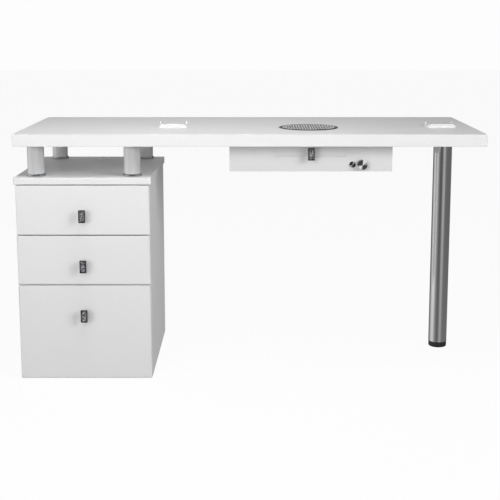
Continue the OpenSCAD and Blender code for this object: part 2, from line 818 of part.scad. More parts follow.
module outlet_frame(x) color(white_plastic) {
  mid_y = outlet_y + outlet_d / 2;
  difference() {
    union() {
      translate([x, mid_y, table_h]) linear_extrude(outlet_h) rounded_rect(outlet_w, outlet_d, outlet_r);
      translate([x, mid_y, under_z]) linear_extrude(top_t + cut) rounded_rect(sleeve_w, sleeve_d, sleeve_r);
    }
    translate([x, mid_y, under_z - cut]) linear_extrude(top_t + outlet_h + 2 * cut)
      rounded_rect(sleeve_w - 2 * outlet_wall, sleeve_d - 2 * outlet_wall, sleeve_r - 1);
  }
  // ears at the back that hold the lid's pins
  for (s = [-1, 1])
    translate([x + s * (lid_w / 2 + lid_side_gap + ear_t / 2), 0, 0]) difference() {
      union() {
        translate([0, hinge_y, hinge_z]) rotate([0, 90, 0]) cylinder(r = ear_r, h = ear_t, center = true);
        block([-ear_t / 2, hinge_y - ear_r, table_h + outlet_h - cut], [ear_t / 2, hinge_y + ear_r, hinge_z]);
      }
      translate([0, hinge_y, hinge_z]) rotate([0, 90, 0])
        cylinder(r = lid_pin_r + lid_pin_slack, h = ear_t + 2 * cut, center = true);
    }
}

module outlet_lid(x) color(white_plastic) {
  difference() {
    union() {
      block([x - lid_w / 2, outlet_y + lid_inset, hinge_z - lid_t / 2],
            [x + lid_w / 2, hinge_y, hinge_z + lid_t / 2]);
      translate([x, hinge_y, hinge_z]) rotate([0, 90, 0]) cylinder(r = lid_t / 2, h = lid_w, center = true);
    }
    block([x - lid_slot_w / 2, hinge_y - lid_slot_d, hinge_z - lid_t],
          [x + lid_slot_w / 2, hinge_y + lid_t, hinge_z + lid_t]);
  }
  for (s = [-1, 1])
    translate([x + s * (lid_w / 2 + lid_pin_l / 2), hinge_y, hinge_z]) rotate([0, 90, 0])
      cylinder(r = lid_pin_r, h = lid_pin_l + cut, center = true);
}

worktop();
pedestal_top();
pedestal_side(-1);  // pedestal_side_left
pedestal_side(1);  // pedestal_side_right
pedestal_bottom();
pedestal_back();
pedestal_glides();
pedestal_dowels();
runner_outer();
posts();
post_rosettes();
post_bolts();
grommet_ring();
grommet_cap();
leg_tube();
leg_plate();
leg_screws();
leg_insert();
leg_foot();
extractor_front();
extractor_case();
case_screws();
tray_guides();
fan_frame();
fan_motor();
fan_impeller();
speed_control();
speed_knob();
power_switch();
power_button();
cable_gland();
grille_ring();
grille();
outlet_frame(outlet_left_x);  // outlet_left_frame
outlet_lid(outlet_left_x);  // outlet_left_lid
outlet_frame(outlet_right_x);  // outlet_right_frame
outlet_lid(outlet_right_x);  // outlet_right_lid
drawer_front(1);  // drawer_1_front
drawer_box(1);  // drawer_1_box
drawer_handle(1);  // drawer_1_handle
drawer_crystals(1);  // drawer_1_crystals
drawer_runner(1);  // drawer_1_runner
runner_middle(1);  // runner_middle_1
drawer_front(2);  // drawer_2_front
drawer_box(2);  // drawer_2_box
drawer_handle(2);  // drawer_2_handle
drawer_crystals(2);  // drawer_2_crystals
drawer_runner(2);  // drawer_2_runner
runner_middle(2);  // runner_middle_2
drawer_front(3);  // drawer_3_front
drawer_box(3);  // drawer_3_box
drawer_handle(3);  // drawer_3_handle
drawer_crystals(3);  // drawer_3_crystals
drawer_runner(3);  // drawer_3_runner
runner_middle(3);  // runner_middle_3
tray_front();
tray_box();
tray_filter();
tray_handle();
tray_crystals();
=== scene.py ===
import json
import math
import random

import bmesh
import bpy
from mathutils import Matrix, Vector, geometry


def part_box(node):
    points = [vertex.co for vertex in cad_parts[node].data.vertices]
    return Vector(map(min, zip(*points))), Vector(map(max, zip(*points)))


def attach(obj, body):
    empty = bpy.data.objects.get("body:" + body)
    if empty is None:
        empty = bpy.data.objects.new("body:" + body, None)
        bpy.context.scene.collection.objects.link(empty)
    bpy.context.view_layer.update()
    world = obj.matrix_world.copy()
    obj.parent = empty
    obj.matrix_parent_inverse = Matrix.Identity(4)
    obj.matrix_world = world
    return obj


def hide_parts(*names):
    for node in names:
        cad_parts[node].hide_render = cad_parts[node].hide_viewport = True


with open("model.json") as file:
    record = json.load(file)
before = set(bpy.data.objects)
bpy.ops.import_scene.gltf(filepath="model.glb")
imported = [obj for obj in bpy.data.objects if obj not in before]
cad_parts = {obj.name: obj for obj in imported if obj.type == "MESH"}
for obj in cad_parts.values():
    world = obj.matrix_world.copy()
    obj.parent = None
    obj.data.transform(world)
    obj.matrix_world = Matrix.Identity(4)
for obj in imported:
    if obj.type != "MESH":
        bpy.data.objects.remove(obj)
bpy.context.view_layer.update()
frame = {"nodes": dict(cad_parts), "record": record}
mm = 0.001
print("frame loaded")


# a dictionary of lengths given in millimetres, and of other values as they are
def millimetres(others=(), **lengths):
    return {name: length * mm for name, length in lengths.items()} | dict(others)


# ---- shapes

def rectangle(lowU, lowV, highU, highV):
    return [(lowU, lowV), (highU, lowV), (highU, highV), (lowU, highV)]


def centred(u, v, width, depth):
    return rectangle(u - width / 2, v - depth / 2, u + width / 2, v + depth / 2)


# rounds the corners of an outline, with one radius or one for each corner
def filleted(points, radius, steps=4, closed=True):
    rounded = []
    for i, point in enumerate(points):
        corner = Vector(point)
        size = radius[i] if isinstance(radius, (list, tuple)) else radius
        if size <= 0 or (not closed and i in (0, len(points) - 1)):
            rounded.append(corner)
            continue
        toLast = Vector(points[i - 1]) - corner
        toNext = Vector(points[(i + 1) % len(points)]) - corner
        half = toLast.angle(toNext) / 2
        reach = min(size / math.tan(half), 0.49 * toLast.length, 0.49 * toNext.length)
        toLast.normalize()
        toNext.normalize()
        centre = corner + (toLast + toNext).normalized() * (reach / math.cos(half))
        start = corner + toLast * reach - centre
        end = corner + toNext * reach - centre
        rounded += [centre + start.slerp(end, k / steps) * start.length for k in range(steps + 1)]
    return rounded


# an outline given in rows of (u, v, rounding)
def rounded(rows, steps=4, closed=True):
    return filleted([row[:2] for row in rows], [row[2] for row in rows], steps, closed)


def circle(u, v, radius, count=96):
    turns = [2 * math.pi * k / count for k in range(count)]
    return [Vector((u + radius * math.cos(a), v + radius * math.sin(a))) for a in turns]


# moves a loop to its left, which is into the material for an outer loop and, reversed, for a hole
def inset(loop, distance):
    moved = []
    for i, point in enumerate(loop):
        before = (point - loop[i - 1]).normalized()
        after = (loop[(i + 1) % len(loop)] - point).normalized()
        left = Vector((-before.y, before.x))
        nextLeft = Vector((-after.y, after.x))
        moved.append(point + (left + nextLeft) * distance / (1 + left.dot(nextLeft)))
    return moved


# (inset, height) pairs of a rounded edge, from the lower face to the upper one
def edgeRings(low, high, radius, steps=4):
    angles = [math.pi / 2 * k / steps for k in range(steps + 1)]
    curve = [(radius * (1 - math.sin(a)), radius * (1 - math.cos(a))) for a in angles]
    return [(i, low + h) for i, h in curve] + [(i, high - h) for i, h in reversed(curve)]


def lying(u, v, w):
    return (u, v, w)


def facingFront(u, v, w):
    return (u, w, v)


def facingSide(u, v, w):
    return (w, u, v)


def bridge(mesh, lower, upper, kind=0):
    if len(lower) == 1 and len(upper) == 1:
        return
    count = max(len(lower), len(upper))
    for k in range(count):
        n = (k + 1) % count
        corners = [loop[i % len(loop)] for loop, i in ((lower, k), (lower, n), (upper, n), (upper, k))]
        mesh.faces.new(list(dict.fromkeys(corners))).material_index = kind


# a flat thing with an outline, holes and shaped edges; the edge finish reaches band into its faces
def plate(outline, holes, rings, put=lying, band=0.0):
    mesh = bmesh.new()
    loops = [outline] + [list(reversed(hole)) for hole in holes]
    made = []
    for loop in loops:
        made.append([[mesh.verts.new(put(p.x, p.y, h)) for p in inset(loop, i)] for i, h in rings])
        for k in range(len(rings) - 1):
            nearEdge = max(rings[k][0], rings[k + 1][0]) <= band
            bridge(mesh, made[-1][k], made[-1][k + 1], 1 if nearEdge else 0)
    for which in (0, -1):
        flat = [[Vector((p.x, p.y, 0)) for p in inset(loop, rings[which][0])] for loop in loops]
        corners = [corner for loop in made for corner in loop[which]]
        for triangle in geometry.tessellate_polygon(flat):
            if len(set(triangle)) == 3:
                mesh.faces.new([corners[k] for k in triangle])
    return mesh


# loops with the same number of points, joined in turn
def stack(loops, closed=False, capped=True):
    mesh = bmesh.new()
    made = [[mesh.verts.new(p) for p in loop] for loop in loops]
    for lower, upper in zip(made, made[1:]):
        bridge(mesh, lower, upper)
    if closed:
        bridge(mesh, made[-1], made[0])
    elif capped:
        for loop in (made[0], made[-1]):
            if len(loop) > 2:
                mesh.faces.new(loop)
    return mesh


# a rounded rectangle about a middle point, at a height
def rectangleLoop(middle, width, depth, corner, height, put=lying, steps=5):
    return [put(p.x, p.y, height) for p in filleted(centred(*middle, width, depth), corner, steps)]


# a profile of (radius, height) turned about an upright axis, with ripple for flutes
def lathe(profile, count=96, closed=False, flutes=0, ripple=0.0):
    loops = []
    for radius, height in profile:
        if radius < 1e-7:
            loops.append([(0, 0, height)])
            continue
        deep = ripple if radius > max(r for r, h in profile) - ripple * 1.5 else 0
        turns = [2 * math.pi * k / count for k in range(count)]
        widths = [radius - deep * (0.5 + 0.5 * math.cos(flutes * a)) for a in turns]
        loops.append([(w * math.cos(a), w * math.sin(a), height) for w, a in zip(widths, turns)])
    return stack(loops, closed=closed, capped=False)


def placed(mesh, where, axis="z"):
    turns = {"z": Matrix.Identity(4), "front": Matrix.Rotation(math.pi / 2, 4, "X"),
             "back": Matrix.Rotation(-math.pi / 2, 4, "X"), "side": Matrix.Rotation(math.pi / 2, 4, "Y")}
    bmesh.ops.transform(mesh, matrix=Matrix.Translation(where) @ turns[axis], verts=mesh.verts)
    return mesh


# a board or strip that fills a box, with or without the seam of a glued band
def panel(low, high, holes, corner, edge, put=lying, seam=False):
    order = {lying: (0, 1, 2), facingFront: (0, 2, 1), facingSide: (1, 2, 0)}[put]
    lowU, lowV, lowW = (low[k] for k in order)
    highU, highV, highW = (high[k] for k in order)
    rings = seamed(lowW, highW, edge) if seam else edgeRings(lowW, highW, edge)
    outline = filleted(rectangle(lowU, lowV, highU, highV), corner, 3)
    return plate(outline, holes, rings, put, board["band"] if seam else 0)


# makes the object, with its finish, the body it moves with and the nodes it stands for
def piece(name, shapes, finishes, body, nodes=(), smooth=True, sharp=35):
    joined = bmesh.new()
    for shape in shapes:
        spare = bpy.data.meshes.new("spare")
        bmesh.ops.recalc_face_normals(shape, faces=shape.faces)
        shape.to_mesh(spare)
        shape.free()
        joined.from_mesh(spare)
        bpy.data.meshes.remove(spare)
    mesh = bpy.data.meshes.new(name)
    joined.to_mesh(mesh)
    joined.free()
    for finish in finishes:
        mesh.materials.append(finish)
    made = bpy.data.objects.new(name, mesh)
    bpy.context.scene.collection.objects.link(made)
    if smooth:
        mesh.shade_smooth()
        mesh.set_sharp_from_angle(angle=math.radians(sharp))
        weighted = made.modifiers.new("weighted", "WEIGHTED_NORMAL")
        weighted.keep_sharp = True
    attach(made, body)
    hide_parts(*nodes)
    return made


# ---- shading

# an output that can stand in a sum or a product
class Wire:
    def __init__(self, sheet, socket):
        self.sheet = sheet
        self.socket = socket

    def __add__(self, other):
        return self.sheet.maths("ADD", self, other)

    __radd__ = __add__

    def __sub__(self, other):
        return self.sheet.maths("SUBTRACT", self, other)

    def __rsub__(self, other):
        return self.sheet.maths("SUBTRACT", other, self)

    def __mul__(self, other):
        return self.sheet.maths("MULTIPLY", self, other)

    __rmul__ = __mul__

    def __truediv__(self, other):
        return self.sheet.maths("DIVIDE", self, other)

    def __rtruediv__(self, other):
        return self.sheet.maths("DIVIDE", other, self)


# the nodes of one material or world
class Sheet:
    def __init__(self, tree):
        self.tree = tree
        self.tree.nodes.clear()

    def add(self, kind, settings=None, inputs=None, output=0):
        node = self.tree.nodes.new(kind)
        for key, value in (settings or {}).items():
            if key == "stops":
                self.setStops(node.color_ramp, value)
            else:
                setattr(node, key, value)
        for key, value in (inputs or {}).items():
            self.feed(node.inputs[key], value)
        return Wire(self, node.outputs[output]) if len(node.outputs) else node

    def feed(self, socket, value):
        if isinstance(value, Wire):
            self.tree.links.new(value.socket, socket)
        elif hasattr(socket.default_value, "__len__") and len(socket.default_value) == 4 and len(value) == 3:
            socket.default_value = (*value, 1)
        else:
            socket.default_value = value

    def setStops(self, ramp, stops):
        while len(ramp.elements) < len(stops):
            ramp.elements.new(0.5)
        for element, (place, colour) in zip(ramp.elements, stops):
            element.position = place
            element.color = (*colour, 1)

    def maths(self, operation, first, second=0.0):
        return self.add("ShaderNodeMath", {"operation": operation}, {0: first, 1: second})

    def blend(self, factor, first, second):
        return self.add("ShaderNodeMix", {"data_type": "RGBA"}, {0: factor, 6: first, 7: second}, 2)

    def split(self, vector, axis):
        return self.add("ShaderNodeSeparateXYZ", None, {0: vector}, axis)

    # object coordinates, stretched along each axis, in cells to the metre
    def coordinates(self, stretch=(1, 1, 1)):
        place = self.add("ShaderNodeTexCoord", None, None, "Object")
        return self.add("ShaderNodeVectorMath", {"operation": "MULTIPLY"}, {0: place, 1: stretch})

    def noise(self, scale, detail=2.0, stretch=(1, 1, 1), rough=0.5):
        inputs = {"Vector": self.coordinates(stretch), "Scale": scale, "Detail": detail, "Roughness": rough}
        return self.add("ShaderNodeTexNoise", None, inputs, 0)

    # 0 where a value is at low and 1 where it is at high
    def mask(self, value, low, high):
        return self.add("ShaderNodeMapRange", {"clamp": True}, {0: value, 1: low, 2: high}, 0)

    def bump(self, height, distance, strength=1.0):
        inputs = {"Strength": strength, "Distance": distance, "Height": height}
        return self.add("ShaderNodeBump", None, inputs)


# a material from the function that makes its varying inputs, and values that stay the same all over
def finish(name, make, uniform=None):
    material = bpy.data.materials.new(name)
    material.use_nodes = True
    sheet = Sheet(material.node_tree)
    inputs = {**make(sheet), **(uniform or {})}
    shader = sheet.add("ShaderNodeBsdfPrincipled", None, inputs)
    sheet.add("ShaderNodeOutputMaterial", None, {"Surface": shader})
    return material


# melamine: a fine pebbled grain, faint cloudiness and wiping marks
def laminateNodes(sheet):
    grain = sheet.noise(1500, 2)
    cloud = sheet.noise(5, 3)
    wiped = sheet.mask(sheet.noise(9, 4, (1, 3.5, 1), 0.6), 0.42, 0.68)
    scuffed = sheet.mask(sheet.noise(140, 5, (1, 0.3, 1), 0.7), 0.66, 0.74)
    colour = sheet.blend(cloud, (0.845, 0.845, 0.848), (0.885, 0.885, 0.882))
    colour = sheet.blend(scuffed * 0.08, colour, (0.6, 0.59, 0.58))
    rough = 0.34 + 0.09 * wiped + 0.06 * grain + 0.1 * scuffed
    height = grain + 0.6 * sheet.noise(420, 2)
    return {"Base Color": colour, "Roughness": rough, "Normal": sheet.bump(height, 0.00006, 0.5)}


# the thin plastic band glued along a board's edges
def bandNodes(sheet):
    drawn = sheet.noise(60, 3, (1, 1, 24))
    colour = sheet.blend(sheet.noise(7, 2), (0.85, 0.85, 0.852), (0.885, 0.885, 0.88))
    return {"Base Color": colour, "Roughness": 0.3 + 0.12 * drawn,
            "Normal": sheet.bump(drawn + 0.5 * sheet.noise(1100, 2), 0.00005, 0.4)}


# powder coat: orange peel over sheet metal
def powderNodes(sheet):
    peel = sheet.noise(620, 2, rough=0.4)
    speck = sheet.mask(sheet.noise(2400, 1), 0.68, 0.74)
    colour = sheet.blend(sheet.noise(6, 3), (0.83, 0.83, 0.832), (0.87, 0.87, 0.868))
    colour = sheet.blend(speck * 0.12, colour, (0.62, 0.62, 0.62))
    return {"Base Color": colour, "Roughness": 0.38 + 0.12 * peel + 0.06 * sheet.noise(14, 3),
            "Normal": sheet.bump(peel, 0.00018, 0.45)}


# moulded white plastic with faint flow marks and hairline scratches
def whitePlasticNodes(sheet):
    flow = sheet.noise(30, 3, (1, 3, 1))
    scratch = sheet.mask(sheet.noise(260, 4, (1, 0.05, 1), 0.7), 0.66, 0.72)
    colour = sheet.blend(flow, (0.83, 0.83, 0.825), (0.865, 0.865, 0.865))
    return {"Base Color": colour, "Roughness": 0.24 + 0.08 * flow + 0.16 * scratch,
            "Normal": sheet.bump(sheet.noise(900, 2) - 0.6 * scratch, 0.00004, 0.5)}


# metal drawn or rolled along one direction, with a few smudges
def brushedNodes(sheet, dark, light, rough, stretch, lines=900, metal=1.0):
    drawn = sheet.noise(lines, 3, stretch, 0.6)
    broad = sheet.noise(lines / 6, 2, stretch)
    smudge = sheet.mask(sheet.noise(22, 4), 0.5, 0.72)
    colour = sheet.blend(0.5 * drawn + 0.5 * broad, dark, light)
    return {"Base Color": colour, "Metallic": metal, "Roughness": rough + 0.1 * drawn + 0.07 * smudge,
            "Normal": sheet.bump(drawn + 0.4 * broad, 0.00003, 0.45)}


# a face turned on a lathe, with painted highlights: bright and dark sectors about its middle are painted into
# the colour, and the bright ones are made less metallic so they catch diffuse light
def paintedHighlightNodes(sheet, middle, dark, light, narrow, lean=0.85):
    place = sheet.coordinates()
    x = sheet.split(place, 0) - middle.x
    z = sheet.split(place, 2) - middle.z
    angle = sheet.maths("ARCTAN2", z, x) - lean
    highlightStreak = sheet.maths("SINE", 19 * angle + 2 * sheet.maths("SINE", 7 * angle))
    highlightWave = sheet.maths("COSINE", 2 * angle) + 0.45 * highlightStreak
    rings = sheet.noise(900, 2)
    # the painted highlight: where this mask is high the face is coloured light and less metallic, elsewhere
    # dark and metallic
    highlightMask = sheet.mask(highlightWave + 0.5 * sheet.noise(260, 3) - 0.25, narrow, narrow + 0.45)
    return {"Base Color": sheet.blend(highlightMask, dark, light), "Metallic": 1 - 0.8 * highlightMask,
            "Roughness": 0.2 + 0.15 * rings, "Normal": sheet.bump(rings, 0.00003, 0.4)}


# zinc plating: small crystals of slightly different greys
def zincNodes(sheet):
    cells = sheet.add("ShaderNodeTexVoronoi", None, {"Vector": sheet.coordinates(), "Scale": 260}, "Color")
    tone = sheet.split(cells, 0)
    rubbed = sheet.mask(sheet.noise(80, 4, (1, 0.1, 1)), 0.55, 0.7)
    colour = sheet.blend(tone, (0.5, 0.51, 0.52), (0.68, 0.685, 0.69))
    return {"Base Color": colour, "Metallic": 1.0, "Roughness": 0.3 + 0.14 * tone + 0.08 * rubbed,
            "Normal": sheet.bump(sheet.noise(800, 2), 0.00004, 0.4)}


# spark-eroded black plastic with a little dust
def blackPlasticNodes(sheet):
    texture = sheet.noise(1300, 3)
    dusty = sheet.mask(sheet.noise(35, 4), 0.5, 0.75)
    colour = sheet.blend(dusty * 0.35, (0.022, 0.022, 0.023), (0.07, 0.068, 0.065))
    return {"Base Color": colour, "Roughness": 0.42 + 0.14 * texture + 0.12 * dusty,
            "Normal": sheet.bump(texture, 0.00008, 0.5)}


# the dowels' beech, with its short flecks
def beechNodes(sheet):
    grain = sheet.noise(120, 4, (1, 1, 0.08))
    fleck = sheet.mask(sheet.noise(700, 2, (1, 1, 0.2)), 0.6, 0.7)
    colour = sheet.blend(grain, (0.72, 0.52, 0.31), (0.82, 0.65, 0.43))
    colour = sheet.blend(fleck * 0.4, colour, (0.5, 0.32, 0.17))
    return {"Base Color": colour, "Roughness": 0.6 + 0.15 * grain, "Normal": sheet.bump(grain, 0.0001, 0.5)}


# the filter's felted fibres, with dust in them
def feltNodes(sheet):
    fibres = sheet.noise(1500, 5, (1, 0.35, 1), 0.75)
    dust = sheet.mask(sheet.noise(28, 4), 0.45, 0.75)
    colour = sheet.blend(fibres, (0.7, 0.7, 0.68), (0.88, 0.88, 0.86))
    colour = sheet.blend(dust * 0.3, colour, (0.72, 0.66, 0.62))
    return {"Base Color": colour, "Roughness": 0.92 + 0.06 * fibres,
            "Normal": sheet.bump(fibres, 0.0004, 0.7)}


# foiled stones, some dark and some light
def crystalNodes(sheet):
    tint = sheet.mask(sheet.noise(330, 1), 0.38, 0.62)
    colour = sheet.blend(tint, (0.16, 0.15, 0.17), (0.78, 0.76, 0.8))
    return {"Base Color": colour, "Metallic": 0.9 - 0.4 * tint, "Roughness": 0.12 + 0.1 * sheet.noise(500, 2),
            "Normal": sheet.bump(sheet.noise(300, 1), 0.00002, 0.3)}


# painted shade on the walls of the grille's holes: near black so the holes read as dark, with a torn texture
# in roughness and bumps
def holeShadeNodes(sheet):
    torn = sheet.noise(1400, 3, (1, 1, 0.2))
    colour = sheet.blend(torn, (0.01, 0.01, 0.01), (0.035, 0.035, 0.035))
    return {"Base Color": colour, "Roughness": 0.6 + 0.2 * torn, "Normal": sheet.bump(torn, 0.00005, 0.6)}


melamine = {"IOR": 1.48}
finishes = {
    "white_laminate": finish("white laminate", laminateNodes, melamine),
    "band": finish("edge band", bandNodes, melamine),
    "white_powder_coat": finish("white powder coat", powderNodes),
    "white_plastic": finish("white plastic", whitePlasticNodes),
    "crystal": finish("cut stones", crystalNodes),
    "zinc_steel": finish("zinc plated steel", zincNodes),
    # painted shade for the walls of the grille's holes
    "holeShade": finish("punched edges", holeShadeNodes),
    "black_plastic": finish("black plastic", blackPlasticNodes),
    "beech": finish("beech", beechNodes),
    "filter_felt": finish("filter felt", feltNodes),
}
# dark tone, light tone, roughness, how the lines are stretched, how fine they are, how metallic
alongZ = (1, 1, 0.012)
metals = {
    "brushed_aluminium": ((0.7, 0.7, 0.71), (0.88, 0.88, 0.89), 0.3, alongZ, 900, 0.45),
    "polished_steel": ((0.68, 0.68, 0.69), (0.82, 0.82, 0.83), 0.07, alongZ),
    "dark_chrome": ((0.42, 0.42, 0.43), (0.56, 0.56, 0.57), 0.12, (1, 1, 1), 500),
    "gunmetal": ((0.1, 0.1, 0.105), (0.2, 0.2, 0.205), 0.2, (1, 1, 0.05), 700),
    "perforated_steel": ((0.78, 0.78, 0.78), (0.9, 0.9, 0.9), 0.3, (0.02, 1, 1), 900, 0.2),
    "motor_steel": ((0.2, 0.2, 0.21), (0.3, 0.3, 0.31), 0.35, (1, 1, 0.05)),
}
for slot, values in metals.items():
    finishes[slot] = finish(slot.replace("_", " "), lambda sheet: brushedNodes(sheet, *values))
print("finishes made")

# each node first takes the finish of its slot; the pieces below then stand for most of those that show
slotOf = {row["node"]: row["material_slot"] for row in frame["record"]["subparts"]}
for name, node in frame["nodes"].items():
    node.data.materials.clear()
    node.data.materials.append(finishes[slotOf[name]])


# a piece with the finish of the node's slot, standing for that node
def standIn(name, node, shapes, body="table", extra=(), sharp=35):
    finishList = [finishes[slotOf[node]], *extra]
    return piece(name, shapes, finishList, body, [node], sharp=sharp)


def middleOf(node):
    low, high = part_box(node)
    return (low + high) / 2


# ---- boards

board = millimetres(corner=1.5, topCorner=3, edge=1.0, band=2.0, seamWidth=0.35, seamDepth=0.2,
                    backCorner=1, backEdge=0.5)


# a board's edge, with the glue line of its band as a fine groove in both faces
def seamed(low, high, edge):
    rings = edgeRings(low, high, edge)
    wide, deep = board["seamWidth"], board["seamDepth"]
    line = [(board["band"] + wide, 0), (board["band"] + wide / 2, deep), (board["band"], 0)]
    return [(i, low + h) for i, h in line] + rings + [(i, high - h) for i, h in reversed(line)]


def boardPiece(name, node, put, body="table", holes=(), corner=board["corner"]):
    low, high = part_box(node)
    shape = panel(low, high, list(holes), corner, board["edge"], put, seam=True)
    return standIn(name, node, [shape], body, [finishes["band"]])


ventAt = middleOf("grille_ring")
grommetAt = middleOf("grommet_ring")
cutOut = millimetres(width=77, depth=59, corner=4.5, vent=85, grommet=30)
cutOuts = [circle(ventAt.x, ventAt.y, cutOut["vent"])]
for side in ("left", "right"):
    spot = middleOf(f"outlet_{side}_frame")
    cutOuts.append(filleted(centred(spot.x, spot.y, cutOut["width"], cutOut["depth"]), cutOut["corner"]))
boardPiece("worktopBoard", "worktop", lying, holes=cutOuts, corner=board["topCorner"])
boardPiece("pedestalTopBoard", "pedestal_top", lying, corner=board["topCorner"],
           holes=[circle(grommetAt.x, grommetAt.y, cutOut["grommet"], 64)])
boardPiece("pedestalLeftBoard", "pedestal_side_left", facingSide)
boardPiece("pedestalRightBoard", "pedestal_side_right", facingSide)
boardPiece("pedestalBottomBoard", "pedestal_bottom", lying)
low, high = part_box("pedestal_back")
standIn("pedestalBackPanel", "pedestal_back",
        [panel(low, high, [], board["backCorner"], board["backEdge"], facingFront)])

# pan heads that hold the back panel along its edges
backScrew = millimetres(radius=3.2, height=1.4, inset=9, endGap=14, others={
    "rows": 5, "recessDeep": 0.55, "recessFloor": 0.22, "recessRim": 0.26,
    "dome": (1.25, 0.9, 0.55, 0.25, 0)})
radius, height = backScrew["radius"], backScrew["height"]
recess = height * backScrew["recessDeep"]
dome = [(0, recess), (radius * backScrew["recessFloor"], recess), (radius * backScrew["recessRim"], height)]
dome += [(radius * math.cos(a), height * math.sin(a)) for a in backScrew["dome"]]
step = (high.z - low.z - 2 * backScrew["endGap"]) / (backScrew["rows"] - 1)
heads = []
for side in (low.x + backScrew["inset"], high.x - backScrew["inset"]):
    for k in range(backScrew["rows"]):
        level = low.z + backScrew["endGap"] + step * k
        heads.append(placed(lathe(dome, 24), (side, high.y, level), "back"))
piece("backPanelScrews", heads, [finishes["zinc_steel"]], "table")
print("boards built")


# ---- drawers

drawer = millimetres(wall=12, floor=4, floorUp=10, groove=6, gap=0.1, corner=1, edge=0.8, floorEdge=0.3)


def drawerBox(n):
    low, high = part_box(f"drawer_{n}_box")
    wall, gap, edge, corner = (drawer[key] for key in ("wall", "gap", "edge", "corner"))
    floorLow = low.z + drawer["floorUp"]
    floorHigh = floorLow + drawer["floor"]
    shapes = []
    for nearX in (low.x, high.x - wall):
        farCorner = (nearX + wall, high.y, high.z)
        shapes.append(panel((nearX, low.y, low.z), farCorner, [], corner, edge, facingSide))
    shapes.append(panel((low.x + wall + gap, high.y - wall, floorHigh + gap),
                        (high.x - wall - gap, high.y, high.z), [], corner, edge, facingFront))
    into = drawer["groove"] / 2
    shapes.append(panel((low.x + wall - into, low.y, floorLow),
                        (high.x - wall + into, high.y, floorHigh), [], corner, drawer["floorEdge"], lying))
    standIn(f"drawer{n}Box", f"drawer_{n}_box", shapes, f"drawer_{n}")


channel = millimetres(thick=1.2, bend=1.1, inner=0.5, lip=0.3, edge=0.2)


# a steel channel bent from strip: web on one side, two lips
def channelShape(low, high, webAtLow):
    base, tip = (low.x, high.x) if webAtLow else (high.x, low.x)
    thick = channel["thick"]
    inside = base + thick if webAtLow else base - thick
    bend, lip, inner = channel["bend"], channel["lip"], channel["inner"]
    rows = [(base, low.z, bend), (tip, low.z, lip), (tip, low.z + thick, lip), (inside, low.z + thick, inner),
            (inside, high.z - thick, inner), (tip, high.z - thick, lip), (tip, high.z, lip),
            (base, high.z, bend)]
    if not webAtLow:
        rows.reverse()
    return plate(rounded(rows, 3), [], edgeRings(low.y, high.y, channel["edge"], 2), facingFront)


# splits a box into the left one and the right one of a pair of channels, given a channel's width
def channelPair(low, high, wide, leftWebAtLow):
    leftHigh = Vector((low.x + wide, high.y, high.z))
    rightLow = Vector((high.x - wide, low.y, low.z))
    return [channelShape(low, leftHigh, leftWebAtLow), channelShape(rightLow, high, not leftWebAtLow)]


runner = millimetres(outerWide=9.5, middleWide=7.1, innerWide=8.4, outerHalf=22.5)
outerShapes = []
outerLow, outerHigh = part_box("runner_outer")
for n in (1, 2, 3):
    boardPiece(f"drawer{n}Front", f"drawer_{n}_front", facingFront, f"drawer_{n}")
    drawerBox(n)
    low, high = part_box(f"runner_middle_{n}")
    level = (low.z + high.z) / 2
    standIn(f"drawer{n}MiddleRunner", f"runner_middle_{n}",
            channelPair(low, high, runner["middleWide"], True), f"runner_middle_{n}")
    outerShapes += channelPair(Vector((outerLow.x, outerLow.y, level - runner["outerHalf"])),
                               Vector((outerHigh.x, outerHigh.y, level + runner["outerHalf"])),
                               runner["outerWide"], True)
    low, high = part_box(f"drawer_{n}_runner")
    standIn(f"drawer{n}InnerRunner", f"drawer_{n}_runner",
            channelPair(low, high, runner["innerWide"], False), f"drawer_{n}")
standIn("outerRunners", "runner_outer", outerShapes)
print("drawers built")


# ---- handles

handle = millimetres(face=6, rim=3.3, pocket=2.5, corner=2.2, pocketCorner=0.8, edge=0.7, lip=0.4, sunk=0.5,
                     collar=6.2, collarHigh=2.2, neck=4.5, flare=4.5, foot=7, footThick=2.4)


def handleFrame(name, node, body):
    low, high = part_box(node)
    at = ((low.x + high.x) / 2, (low.z + high.z) / 2)
    wide, tall = high.x - low.x, high.z - low.z
    front, back = low.y, low.y + handle["face"]
    loops = []
    for i, y in edgeRings(-back, -front, handle["edge"], 4):
        corner = handle["corner"] - i * 0.5
        loops.append(rectangleLoop(at, wide - 2 * i, tall - 2 * i, corner, -y, facingFront))
    inWide, inTall = wide - 2 * handle["rim"], tall - 2 * handle["rim"]
    for k in range(4):
        a = math.pi / 2 * k / 3
        out = handle["lip"] * (1 - math.sin(a))
        loops.append(rectangleLoop(at, inWide + 2 * out, inTall + 2 * out, handle["pocketCorner"] + out,
                                   front + handle["lip"] * (1 - math.cos(a)), facingFront))
    floor = front + handle["pocket"]
    loops.append(rectangleLoop(at, inWide, inTall, handle["pocketCorner"], floor, facingFront))
    long = high.y - back
    neck, collar, foot = handle["neck"], handle["collar"], handle["foot"]
    profile = rounded([(0, -handle["sunk"], 0), (collar, -handle["sunk"], 0), (collar, 0, 0),
                       (neck, handle["collarHigh"], 2 * mm), (neck, long - handle["flare"], 1.4 * mm),
                       (foot, long - handle["footThick"], 0.5 * mm), (foot, long, 0), (0, long, 0)], 5, False)
    standIn(name, node, [stack(loops), placed(lathe(profile, 64), (at[0], back, at[1]), "back")], body)


# rings are (size, turn in facets, height) from the girdle's foot to the table
stones = millimetres(gap=0.25, base=0.72, baseCorner=0.3, baseEdge=0.1, others={
    "columns": 2, "rows": 5, "facets": 8, "square": 1.16, "lean": 0.12, "jitter": 0.05, "highest": 1.08,
    "rings": [(1.0, 0.0, 0.0), (1.0, 0.0, 0.35), (0.8, 0.5, 0.78), (0.46, 0.0, 1.0)]})


